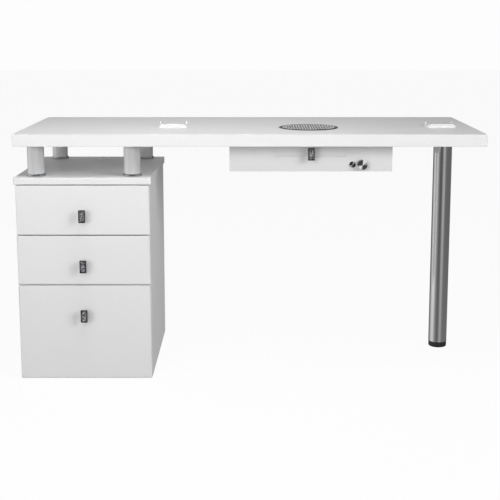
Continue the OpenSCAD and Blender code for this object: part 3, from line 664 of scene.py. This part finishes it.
# one cut stone: an eight-sided girdle, a turned ring of facets and a table
def stoneShape(u, v, wide, tall, back, rise, draw):
    lean = [draw.uniform(-stones["lean"], stones["lean"]) for k in range(2)]
    loops = []
    for size, turn, up in stones["rings"]:
        loop = []
        for k in range(stones["facets"]):
            a = 2 * math.pi * (k + 0.5 + turn) / stones["facets"]
            square = min(1 / abs(math.cos(a)), 1 / abs(math.sin(a)), stones["square"])
            x = math.cos(a) * square * size * wide / 2
            z = math.sin(a) * square * size * tall / 2
            uneven = 0
            if up > 0.5:
                uneven = draw.uniform(-stones["jitter"], stones["jitter"])
                uneven += lean[0] * x / wide + lean[1] * z / tall
            loop.append((u + x, back - rise * min(up + uneven, stones["highest"]), v + z))
        loops.append(loop)
    mesh = stack(loops)
    bmesh.ops.triangulate(mesh, faces=[f for f in mesh.faces if len(f.verts) == 4])
    return mesh


def stoneInlay(name, node, body, seed):
    draw = random.Random(seed)
    low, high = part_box(node)
    back = high.y - stones["base"]
    wide = (high.x - low.x) / stones["columns"]
    tall = (high.z - low.z) / stones["rows"]
    rise = (back - low.y) / stones["highest"]
    shapes = [panel((low.x, back, low.z), high, [], stones["baseCorner"], stones["baseEdge"], facingFront)]
    for i in range(stones["columns"]):
        for k in range(stones["rows"]):
            shapes.append(stoneShape(low.x + (i + 0.5) * wide, low.z + (k + 0.5) * tall, wide - stones["gap"],
                                     tall - stones["gap"], back, rise, draw))
    piece(name, shapes, [finishes["crystal"]], body, [node], smooth=False)


handles = [(f"drawer{n}", f"drawer_{n}", f"drawer_{n}", 10 + n) for n in (1, 2, 3)]
for name, node, body, seed in handles + [("tray", "tray", "filter_tray", 20)]:
    handleFrame(f"{name}HandleFrame", f"{node}_handle", body)
    stoneInlay(f"{name}Stones", f"{node}_crystals", body, seed)
print("handles built")


# ---- posts and leg

post = millimetres(radius=25, wall=1.5, cap=3, edge=0.4, rim=0.3)
rosette = millimetres(radius=28.5, high=8, shoulder=4.6, floor=2, bore=6, under=0.4, clear=0.05, lip=1)
low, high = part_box("posts")
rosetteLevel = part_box("post_rosettes")[0].z
outer, inner, tall = post["radius"], post["radius"] - post["wall"], high.z - low.z
tube = rounded([(0, tall, 0), (outer, tall, post["edge"]), (outer, 0, post["rim"]), (inner, 0, post["rim"]),
                (inner, tall - post["cap"], 1 * mm), (0, tall - post["cap"], 0)], 3, closed=False)
radius, bore, floor, top = (rosette[key] for key in ("radius", "bore", "floor", "high"))
ring = rounded([(outer - rosette["under"], floor, 0), (outer + rosette["clear"], top, 0.2 * mm),
                (outer + rosette["lip"], top, 0.6 * mm), (radius, rosette["shoulder"], 1.6 * mm),
                (radius, 0, 0.4 * mm), (bore, 0, 0), (bore, floor, 0)], 5)
postTubes, rosettes = [], []
for x in (low.x + outer, high.x - outer):
    for y in (low.y + outer, high.y - outer):
        postTubes.append(placed(lathe(tube), (x, y, low.z)))
        rosettes.append(placed(lathe(ring, closed=True), (x, y, rosetteLevel)))
standIn("postTubes", "posts", postTubes)
standIn("postRosettes", "post_rosettes", rosettes)

leg = millimetres(radius=30, wall=1.5, edge=0.4)
low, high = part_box("leg_tube")
legAt = middleOf("leg_tube")
outer, inner, tall = leg["radius"], leg["radius"] - leg["wall"], high.z - low.z
tube = filleted([(outer, 0), (outer, tall), (inner, tall), (inner, 0)], leg["edge"], 3)
standIn("legTube", "leg_tube", [placed(lathe(tube, 128, closed=True), (legAt.x, legAt.y, low.z))])

foot = millimetres(radius=29.5, high=18, chamfer=2, groove=0.8, grooveLow=4, grooveHigh=6, grooveSide=0.6,
                   topDown=1.4, topIn=1.2, boss=6.5, ripple=0.5, others={"flutes": 48})
stem = millimetres(radius=5, crest=4.95, root=4.3, end=4.2, pitch=1.5, plain=1)
low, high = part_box("leg_foot")
long = high.z - low.z
radius, top, side = foot["radius"], foot["high"], foot["grooveSide"]
waist = radius - foot["groove"]
pad = [(0, 0), (radius - foot["chamfer"], 0), (radius, foot["chamfer"]), (radius, foot["grooveLow"]),
       (waist, foot["grooveLow"] + side), (waist, foot["grooveHigh"] - side), (radius, foot["grooveHigh"]),
       (radius, top - foot["topDown"]), (radius - foot["topIn"], top), (foot["boss"], top),
       (stem["radius"], top)]
pitch, crest = stem["pitch"], stem["crest"]
for k in range(int((long - top - 2 * stem["plain"]) / pitch)):
    start = top + stem["plain"] + k * pitch
    pad += [(crest, start), (stem["root"], start + pitch * 0.5), (crest, start + pitch * 0.98)]
pad += [(stem["end"], long), (0, long)]
padShape = lathe(pad, 192, flutes=foot["flutes"], ripple=foot["ripple"])
standIn("legFoot", "leg_foot", [placed(padShape, (legAt.x, legAt.y, low.z))], "leg_foot")

glide = millimetres(radius=8, sole=7.2, bevel=1.4)
low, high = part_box("pedestal_glides")
radius = glide["radius"]
profile = rounded([(0, 0, 0), (glide["sole"], 0, 0.8 * mm), (radius, glide["bevel"], 0.4 * mm),
                   (radius, high.z, 0.2 * mm), (0, high.z, 0)], 3, closed=False)
glides = [placed(lathe(profile, 48), (x, y, 0))
          for x in (low.x + radius, high.x - radius) for y in (low.y + radius, high.y - radius)]
standIn("pedestalGlides", "pedestal_glides", glides)
print("posts and leg built")


# ---- dust extractor

extractor = millimetres(edge=0.5, corner=2, notchWide=211, notchHigh=36, notchCorner=1, notchTip=0.5,
                        trayGrow=0.5, trayCorner=0.6, trayEdge=0.3)
low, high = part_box("extractor_front")
at = (low.x + high.x) / 2
notch, notchLevel = extractor["notchWide"] / 2, high.z - extractor["notchHigh"]
corner, inner, tip = extractor["corner"], extractor["notchCorner"], extractor["notchTip"]
outline = rounded([(low.x, low.z, corner), (high.x, low.z, corner), (high.x, high.z, tip),
                   (at + notch, high.z, tip), (at + notch, notchLevel, inner),
                   (at - notch, notchLevel, inner), (at - notch, high.z, tip), (low.x, high.z, tip)])
face = plate(outline, [], edgeRings(low.y, high.y, extractor["edge"]), facingFront)
standIn("extractorFront", "extractor_front", [face])
low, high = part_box("tray_front")
grow = extractor["trayGrow"]
trayFace = panel((low.x - grow, low.y, low.z - grow), (high.x + grow, high.y, high.z), [],
                 extractor["trayCorner"], extractor["trayEdge"], facingFront)
standIn("trayFront", "tray_front", [trayFace], "filter_tray")

case = millimetres(sheet=2, bend=3, fold=1, cut=0.3, gap=0.2, baseCorner=2.8, baseEdge=0.4, lipWide=15.8,
                   lipCorner=0.5)
slots = millimetres(radius=72, wide=6, pitch=12, corner=2.9, others={"each": 5})
low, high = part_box("extractor_case")
thin, bend, fold, cut, gap = (case[key] for key in ("sheet", "bend", "fold", "cut", "gap"))
wall = rounded([(low.x, low.y, cut), (low.x + thin, low.y, cut), (low.x + thin, high.y - thin, fold),
                (high.x - thin, high.y - thin, fold), (high.x - thin, low.y, cut), (high.x, low.y, cut),
                (high.x, high.y, bend), (low.x, high.y, bend)])
openings = []
for k in range(-slots["each"], slots["each"] + 1):
    half = math.sqrt(slots["radius"] ** 2 - (abs(k * slots["pitch"]) + slots["wide"] / 2) ** 2)
    slotShape = centred(ventAt.x + k * slots["pitch"], ventAt.y, slots["wide"], 2 * half)
    openings.append(filleted(slotShape, slots["corner"]))
caseShapes = [plate(wall, [], edgeRings(low.z, high.z, cut, 2), lying),
              plate(filleted(rectangle(low.x + gap, low.y, high.x - gap, high.y - gap), case["baseCorner"]),
                    openings, edgeRings(low.z, low.z + thin, case["baseEdge"], 2), lying)]
for nearX in (low.x + gap, high.x - gap - case["lipWide"]):
    farCorner = (nearX + case["lipWide"], high.y - gap, high.z)
    caseShapes.append(panel((nearX, low.y, high.z - thin), farCorner, [], case["lipCorner"], cut, lying))
standIn("extractorCase", "extractor_case", caseShapes)

# pleated filter pad in a card frame
pleat = millimetres(frame=5, tuck=4, deep=12, below=2, cloth=1, cardCorner=2, windowCorner=1, cardEdge=0.5,
                    others={"count": 26, "steps": 6})
low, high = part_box("tray_filter")
rim = pleat["frame"]
folds = []
samples = pleat["count"] * pleat["steps"]
for k in range(samples + 1):
    fold = abs((k / pleat["steps"] % 1) * 2 - 1)
    soft = fold * fold * (3 - 2 * fold)
    along = low.y + rim + (high.y - low.y - 2 * rim) * k / samples
    folds.append(Vector((along, high.z - pleat["below"] - pleat["deep"] * soft)))
under = [p - Vector((0, pleat["cloth"])) for p in reversed(folds)]
pleats = plate(list(reversed(folds + under)), [],
               [(0, low.x + pleat["tuck"]), (0, high.x - pleat["tuck"])], facingSide)
window = filleted(rectangle(low.x + rim, low.y + rim, high.x - rim, high.y - rim), pleat["windowCorner"])
card = plate(filleted(rectangle(low.x, low.y, high.x, high.y), pleat["cardCorner"]), [window],
             edgeRings(low.z, high.z, pleat["cardEdge"], 3), lying)
standIn("filterPad", "tray_filter", [pleats, card], "filter_tray", sharp=70)
print("extractor built")


# ---- controls

# a fluted knob with a pointer line; its dark and light tones set the painted highlight on its face; its rows
# are (radius, height, rounding) in millimetres
knob = millimetres(high=15, ripple=0.7, pointer=1.2, pointerFrom=4, pointerTo=11, pointerCorner=0.5,
                   pointerEdge=0.1, pointerIn=0.15, pointerBack=1.2, others={
    "flutes": 36, "dark": 0.14, "light": 0.93, "narrow": 0.15,
    "rows": [(0, 0, 0), (14.6, 0, 0.3), (15, 0.8, 0.4), (15, 2.2, 0.2), (14.3, 2.6, 0.2), (15, 3.2, 0.3),
             (15, 12.8, 0.8), (13.4, 15, 0.7), (11.6, 15, 0.3), (11.2, 14.6, 0.2), (0, 14.4, 0)]})
# the switch's dark and light tones set the painted highlight on its bezel and button
switch = millimetres(radius=9.2, thick=2, bore=6.3, barrel=7.8, long=22, button=6,
                     others={"dark": 0.1, "light": 0.7, "narrow": 0.5})


# a finish with painted highlight sectors that turn about the node's middle
def paintedHighlightFinish(name, node, values):
    dark, light = (values["dark"],) * 3, (values["light"],) * 3
    return finish(name, lambda sheet: paintedHighlightNodes(sheet, middleOf(node), dark, light, values["narrow"]))


knobPaintedHighlight = paintedHighlightFinish("knob painted highlight", "speed_knob", knob)
switchPaintedHighlight = paintedHighlightFinish("switch painted highlight", "power_switch", switch)
low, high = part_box("speed_knob")
knobAt = (low.x + high.x) / 2
level = (low.z + high.z) / 2
profile = [(u * mm, v * mm, r * mm) for u, v, r in knob["rows"]]
cap = lathe(rounded(profile, 3, closed=False), 216, flutes=knob["flutes"], ripple=knob["ripple"])
piece("speedKnob", [placed(cap, (knobAt, low.y + knob["high"], level), "front")], [knobPaintedHighlight],
      "speed_knob", ["speed_knob"])
mark = panel((knobAt - knob["pointer"] / 2, low.y + knob["pointerIn"], level + knob["pointerFrom"]),
             (knobAt + knob["pointer"] / 2, low.y + knob["pointerBack"], level + knob["pointerTo"]), [],
             knob["pointerCorner"], knob["pointerEdge"], facingFront)
piece("knobPointer", [mark], [finishes["black_plastic"]], "speed_knob")

# the push switch's threaded bezel and its button, both with the switch's painted highlight
low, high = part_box("power_switch")
at = (low.x + high.x) / 2
level = (low.z + high.z) / 2
bore, barrel, radius, thick, long = (switch[key] for key in ("bore", "barrel", "radius", "thick", "long"))
ring = rounded([(bore, 0, 0.2 * mm), (bore, long, 0.2 * mm), (barrel, long, 0.4 * mm), (barrel, thick, 0),
                (radius, thick, 0.2 * mm), (radius, 0.7 * mm, 0.5 * mm), (8.2 * mm, 0, 0.4 * mm),
                (7 * mm, 0.1 * mm, 0.2 * mm)])
piece("switchBezel", [placed(lathe(ring, closed=True), (at, low.y, level), "back")],
      [switchPaintedHighlight], "table", ["power_switch"])
low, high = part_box("power_button")
long, radius = high.y - low.y, switch["button"]
button = rounded([(0, 0.55 * mm, 0), (2.6 * mm, 0.45 * mm, 2 * mm), (4.9 * mm, 0, 0.6 * mm),
                  (radius, 0.5 * mm, 0.4 * mm), (radius, long, 0.3 * mm), (0, long, 0)], closed=False)
piece("powerButton", [placed(lathe(button, 72), (at, low.y, level), "back")],
      [switchPaintedHighlight], "power_button", ["power_button"])

# cable gland: hexagons on both sides of the wall and a fingered dome
gland = millimetres(bore=3.5, thread=8, neck=7.9, mouth=5.6, domeLong=7, nut=11, nutHigh=5, nutBore=7.6,
                    bevelIn=1.2, bevelUp=0.9)
low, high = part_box("cable_gland")
at = (middleOf("cable_gland").x, low.y, middleOf("cable_gland").z)
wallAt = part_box("extractor_case")[1].y - low.y
long = high.y - low.y
bore, neck, thread = gland["bore"], gland["neck"], gland["thread"]
body = rounded([(bore, 0, 0.2 * mm), (bore, long, 0.5 * mm), (gland["mouth"], long, 1.2 * mm),
                (neck, long - gland["domeLong"], 2 * mm), (neck, wallAt, 0), (thread, wallAt, 0),
                (thread, 0, 0.5 * mm)])
glandShapes = [placed(lathe(body, 72, closed=True), at, "back")]
nut, nutHigh, bevelIn, bevelUp = (gland[key] for key in ("nut", "nutHigh", "bevelIn", "bevelUp"))
hexagon = [(nut - bevelIn, 0), (nut, bevelUp), (nut, nutHigh - bevelUp), (nut - bevelIn, nutHigh),
           (gland["nutBore"], nutHigh), (gland["nutBore"], 0)]
for start in (wallAt, wallAt - case["sheet"] - nutHigh):
    loops = [[(p.x, p.y, start + h) for p in circle(0, 0, size, 6)] for size, h in hexagon]
    glandShapes.append(placed(stack(loops, closed=True), at, "back"))
standIn("cableGland", "cable_gland", glandShapes)
print("controls built")


# ---- grille, outlets and grommet

rim = millimetres(outer=92.5, collarOut=84.7, collarIn=79, seat=82.3, high=2, seatDown=1.4, side=1.3,
                  sideIn=0.6, flat=3, lip=0.4, lipDown=0.3)
low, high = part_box("grille_ring")
top = high.z - low.z
deep, seatLevel = top - rim["high"], top - rim["seatDown"]
outer, inner, neck, seat = (rim[key] for key in ("outer", "collarIn", "collarOut", "seat"))
section = rounded([(inner, 0, 0.3 * mm), (neck, 0, 0.3 * mm), (neck, deep, 0), (outer, deep, 0.2 * mm),
                   (outer - rim["sideIn"], deep + rim["side"], 0.6 * mm),
                   (outer - rim["flat"], top, 1.2 * mm), (seat + rim["lip"], top, 0.2 * mm),
                   (seat, top - rim["lipDown"], 0.1 * mm), (seat, seatLevel, 0),
                   (inner, seatLevel, 0.2 * mm)])
standIn("grilleRim", "grille_ring",
        [placed(lathe(section, 160, closed=True), (ventAt.x, ventAt.y, low.z))])

# the perforated disc: six-sided holes in staggered columns; the walls of the holes, and band into the faces,
# take the painted hole shade
grille = millimetres(pitch=9.5, hole=3.6, holeCorner=0.5, field=76, edge=0.15, band=0.12,
                     others={"reach": 9})
low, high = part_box("grille")
holes = []
for column in range(-grille["reach"], grille["reach"] + 1):
    for k in range(-grille["reach"], grille["reach"] + 1):
        u = column * grille["pitch"] * math.sqrt(3) / 2
        v = (k + (abs(column) % 2) / 2) * grille["pitch"]
        if math.hypot(u, v) < grille["field"]:
            hexagon = circle(ventAt.x + u, ventAt.y + v, grille["hole"], 6)
            holes.append(filleted(hexagon, grille["holeCorner"], 2))
disc = plate(circle(ventAt.x, ventAt.y, (high.x - low.x) / 2, 160), holes,
             edgeRings(low.z, high.z, grille["edge"], 2), lying, grille["band"])
standIn("grilleDisc", "grille", [disc], extra=[finishes["holeShade"]])

outlet = millimetres(high=7, corner=6, sleeveIn=6, sleeveCorner=4, wall=2.5, boreCorner=3, boreBevel=0.5,
                     edge=1.4)
ear = millimetres(thick=5, radius=3.6, sunk=1, gap=0.4, edge=0.5)
lid = millimetres(sideIn=3, hingeIn=1.8, backPast=1.75, edge=1.1, corner=3, tab=0.6, slotWide=30,
                  slotDeep=8, slotCorner=2, pin=1.3, pinTip=1, pinSide=3.4, pinLong=3.8, pinIn=0.8)
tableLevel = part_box("worktop")[1].z
hoodTop = tableLevel + outlet["high"]


def outletHood(side, at, hingeY, hingeZ, lidHalf):
    low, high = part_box(f"outlet_{side}_frame")
    wide, depth = high.x - low.x, high.y - low.y
    sleeve = [size - 2 * outlet["sleeveIn"] for size in (wide, depth)]
    bore = [size - 2 * outlet["wall"] for size in sleeve]
    bevel, corner = outlet["boreBevel"], outlet["boreCorner"]
    loops = [rectangleLoop(at, *sleeve, outlet["sleeveCorner"], low.z),
             rectangleLoop(at, *sleeve, outlet["sleeveCorner"], tableLevel),
             rectangleLoop(at, wide, depth, outlet["corner"], tableLevel)]
    for i, level in edgeRings(tableLevel, hoodTop, outlet["edge"], 5)[6:]:
        loops.append(rectangleLoop(at, wide - 2 * i, depth - 2 * i, outlet["corner"] - i, level))
    loops.append(rectangleLoop(at, bore[0] + 2 * bevel, bore[1] + 2 * bevel, corner + bevel, hoodTop))
    loops.append(rectangleLoop(at, *bore, corner, hoodTop - bevel))
    loops.append(rectangleLoop(at, *bore, corner, low.z))
    shapes = [stack(loops, closed=True)]
    size = ear["radius"]
    outline = filleted(rectangle(hingeY - size, hoodTop - ear["sunk"], hingeY + size, hingeZ + size),
                       [0, 0, size * 0.98, size * 0.98], 8)
    for way in (-1, 1):
        near = at[0] + way * (lidHalf + ear["gap"])
        sides = sorted((near, near + way * ear["thick"]))
        shapes.append(plate(outline, [], edgeRings(*sides, ear["edge"], 3), facingSide))
    standIn(f"outlet{side.capitalize()}Hood", f"outlet_{side}_frame", shapes)


def outletLid(side, at, hingeY, hingeZ, lidHalf):
    low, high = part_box(f"outlet_{side}_lid")
    slotHalf = lid["slotWide"] / 2
    slotY, back = hingeY - lid["slotDeep"], hingeY + lid["backPast"]
    corner, tab, slotCorner = lid["corner"], lid["tab"], lid["slotCorner"]
    outline = rounded([(at[0] - lidHalf, low.y, corner), (at[0] + lidHalf, low.y, corner),
                       (at[0] + lidHalf, back, tab), (at[0] + slotHalf, back, tab),
                       (at[0] + slotHalf, slotY, slotCorner), (at[0] - slotHalf, slotY, slotCorner),
                       (at[0] - slotHalf, back, tab), (at[0] - lidHalf, back, tab)])
    shapes = [plate(outline, [], edgeRings(low.z, high.z, lid["edge"], 4), lying)]
    for way in (-1, 1):
        pin = lathe([(0, 0), (lid["pin"], 0), (lid["pin"], lid["pinSide"]), (lid["pinTip"], lid["pinLong"]),
                     (0, lid["pinLong"])], 24)
        bmesh.ops.scale(pin, vec=(1, 1, way), verts=pin.verts)
        shapes.append(placed(pin, (at[0] + way * (lidHalf - lid["pinIn"]), hingeY, hingeZ), "side"))
    standIn(f"outlet{side.capitalize()}Lid", f"outlet_{side}_lid", shapes, f"outlet_{side}_lid")


for side in ("left", "right"):
    low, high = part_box(f"outlet_{side}_frame")
    lidLow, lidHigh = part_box(f"outlet_{side}_lid")
    hinge = (((low.x + high.x) / 2, (low.y + high.y) / 2), lidHigh.y - lid["hingeIn"],
             (lidLow.z + lidHigh.z) / 2, (lidHigh.x - lidLow.x) / 2 - lid["sideIn"])
    outletHood(side, *hinge)
    outletLid(side, *hinge)

# the grommet's section is in rows of (radius, height, rounding) about the shelf's level
grommet = millimetres(bore=26, seat=28, sleeve=29.7, flange=33, flangeHigh=2.5, ledge=0.3, ledgeDown=2.7,
                      ledgeFoot=5.7)
low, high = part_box("grommet_ring")
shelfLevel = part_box("pedestal_top")[1].z
bottom = low.z - shelfLevel
bore, seat, sleeve, ledge, top = (grommet[key] for key in ("bore", "seat", "sleeve", "ledge", "flangeHigh"))
section = rounded([(bore, -grommet["ledgeDown"], 0), (seat, -grommet["ledgeFoot"], 0),
                   (seat, bottom, 0.3 * mm), (sleeve, bottom, 0.3 * mm), (sleeve, 0, 0),
                   (grommet["flange"], 0, 0.2 * mm),
                   (32.4 * mm, 1.6 * mm, 0.6 * mm), (31 * mm, top, 0.8 * mm), (28.3 * mm, top, 0.1 * mm),
                   (seat, 2.2 * mm, 0.1 * mm), (seat, ledge, 0), (bore, ledge, 0.2 * mm)])
standIn("grommetRing", "grommet_ring",
        [placed(lathe(section, closed=True), (grommetAt.x, grommetAt.y, shelfLevel))])
grommetCap = millimetres(slotHalf=8, slotIn=6, past=0.3, edge=0.5)
low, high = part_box("grommet_cap")
radius, half = (high.x - low.x) / 2, grommetCap["slotHalf"]
slotMiddle = grommetAt.y + radius + grommetCap["past"] - grommetCap["slotIn"]
edgeAngle = math.acos(half / radius)
outline = [Vector((grommetAt.x + radius * math.cos(a), grommetAt.y + radius * math.sin(a)))
           for a in [math.pi - edgeAngle + (math.pi + 2 * edgeAngle) * k / 72 for k in range(73)]]
outline += [Vector((grommetAt.x + half * math.cos(a), slotMiddle + half * math.sin(a)))
            for a in [-math.pi * k / 16 for k in range(17)]]
disc = plate(outline, [], edgeRings(low.z, high.z, grommetCap["edge"], 3), lying)
standIn("grommetCap", "grommet_cap", [disc], "grommet_cap")
print("grille, outlets and grommet built")


# ---- stage

# bands and walls are (part of a turn, brightness) of what shining things mirror, below and above eye level
studio = {"floorSize": 40.0, "floorGlow": 1.0, "floorMatt": 0.06, "floorTone": 0.9, "backdrop": 0.983,
          "softBehind": 0.27, "softRear": 0.75, "rearLow": 0.12, "rearHigh": 0.5, "softBelow": 0.38,
          "softAbove": 0.03, "lowStart": -0.17, "lowEnd": -0.42, "lowTone": 0.24, "lowShare": 0.7,
          "bands": [(0.0, 0.1), (0.09, 0.12), (0.165, 0.55), (0.22, 0.95), (0.29, 1.0), (0.33, 0.55),
                    (0.37, 0.28), (0.415, 0.12), (0.475, 0.11), (0.525, 0.46), (0.57, 0.46), (0.61, 0.18),
                    (0.72, 0.15), (0.84, 0.16), (1.0, 0.1)],
          "walls": [(0.0, 0.3), (0.1, 0.55), (0.3, 0.75), (0.4, 0.3), (0.5, 0.22), (0.7, 0.12), (0.94, 0.05),
                    (1.0, 0.3)]}
lights = {"key": {"at": (-0.8, -2.4, 1.8), "aim": (-0.1, 0.0, 0.6), "size": 0.8, "watts": 11},
          "left": {"at": (-2.2, -3.2, 1.15), "aim": (0.0, 0.0, 0.6), "size": 1.6, "watts": 36},
          "right": {"at": (3.0, -2.7, 1.9), "aim": (0.0, 0.0, 0.5), "size": 1.9, "watts": 88},
          "top": {"at": (-0.25, -0.7, 2.0), "aim": (-0.2, -0.3, 0.7), "size": 0.8, "watts": 13}}


def grey(tone):
    return (tone, tone, tone)


def makeFloor():
    mesh = bpy.data.meshes.new("floor")
    half = studio["floorSize"] / 2
    corners = [(u, v, 0) for u, v in rectangle(-half, -half, half, half)]
    mesh.from_pydata(corners, [], [(0, 1, 2, 3)])
    floor = bpy.data.objects.new("floor", mesh)
    bpy.context.scene.collection.objects.link(floor)
    material = bpy.data.materials.new("studio floor")
    material.use_nodes = True
    sheet = Sheet(material.node_tree)
    glow = sheet.add("ShaderNodeEmission", None, {"Color": grey(1), "Strength": studio["floorGlow"]})
    matt = sheet.add("ShaderNodeBsdfDiffuse", None, {"Color": grey(studio["floorTone"])})
    mixed = sheet.add("ShaderNodeMixShader", None, {0: studio["floorMatt"], 1: glow, 2: matt})
    sheet.add("ShaderNodeOutputMaterial", None, {"Surface": mixed})
    mesh.materials.append(material)
    floor.visible_glossy = False
    floor.visible_diffuse = False


# pale for the camera, even for soft light, and bands of light and dark around the room for what shines
def makeWorld():
    world = bpy.data.worlds.new("studio")
    bpy.context.scene.world = world
    world.use_nodes = True
    sheet = Sheet(world.node_tree)
    direction = sheet.add("ShaderNodeTexCoord", None, None, "Generated")
    x, y, z = (sheet.split(direction, axis) for axis in range(3))
    turn = sheet.maths("ARCTAN2", x, 0 - y) / (2 * math.pi) + 0.5
    ramps = [[(p, grey(v)) for p, v in studio[name]] for name in ("bands", "walls")]
    bands, walls = (sheet.add("ShaderNodeValToRGB", {"stops": stops}, {0: turn}) for stops in ramps)
    low = sheet.mask(z, studio["lowStart"], studio["lowEnd"]) * studio["lowShare"]
    room = sheet.blend(sheet.mask(z, 0.0, 0.06), sheet.blend(low, bands, grey(studio["lowTone"])), walls)
    shining = sheet.add("ShaderNodeLightPath", None, None, "Is Glossy Ray")
    seen = sheet.add("ShaderNodeLightPath", None, None, "Is Camera Ray")
    front = sheet.blend(sheet.mask(z, -0.1, 0.1), grey(studio["softBelow"]), grey(studio["softAbove"]))
    rear = sheet.blend(sheet.mask(z, studio["rearLow"], studio["rearHigh"]), grey(studio["softRear"]),
                       grey(studio["softBehind"]))
    behind = sheet.blend(sheet.mask(y, 0.3, 0.8), grey(studio["softBehind"]), rear)
    soft = sheet.blend(sheet.mask(y, -0.1, 0.1), front, behind)
    colour = sheet.blend(shining, sheet.blend(seen, soft, grey(studio["backdrop"])), room)
    back = sheet.add("ShaderNodeBackground", None, {"Color": colour, "Strength": 1.0})
    sheet.add("ShaderNodeOutputWorld", None, {"Surface": back})


# soft panels that light the table without being mirrored in it
def makeLight(name, facts):
    lamp = bpy.data.lights.new(name, "AREA")
    lamp.shape = "SQUARE"
    lamp.size = facts["size"]
    lamp.energy = facts["watts"]
    light = bpy.data.objects.new(name, lamp)
    bpy.context.scene.collection.objects.link(light)
    light.visible_glossy = False
    light.location = facts["at"]
    light.rotation_euler = (Vector(facts["aim"]) - Vector(facts["at"])).to_track_quat("-Z", "Y").to_euler()


view = {"at": (0.0009, -3.283, 1.079), "tilt": 8.83, "lens": 74.3, "sensor": 36, "shift": -0.137}
makeFloor()
makeWorld()
for name, facts in lights.items():
    makeLight(name, facts)
cameraData = bpy.data.cameras.new("camera")
cameraData.lens = view["lens"]
cameraData.sensor_width = view["sensor"]
cameraData.shift_y = view["shift"]
camera = bpy.data.objects.new("camera", cameraData)
bpy.context.scene.collection.objects.link(camera)
camera.location = view["at"]
camera.rotation_euler = (math.radians(90 - view["tilt"]), 0, 0)
bpy.context.scene.camera = camera
bpy.context.scene.view_settings.view_transform = "Standard"
print("stage set")
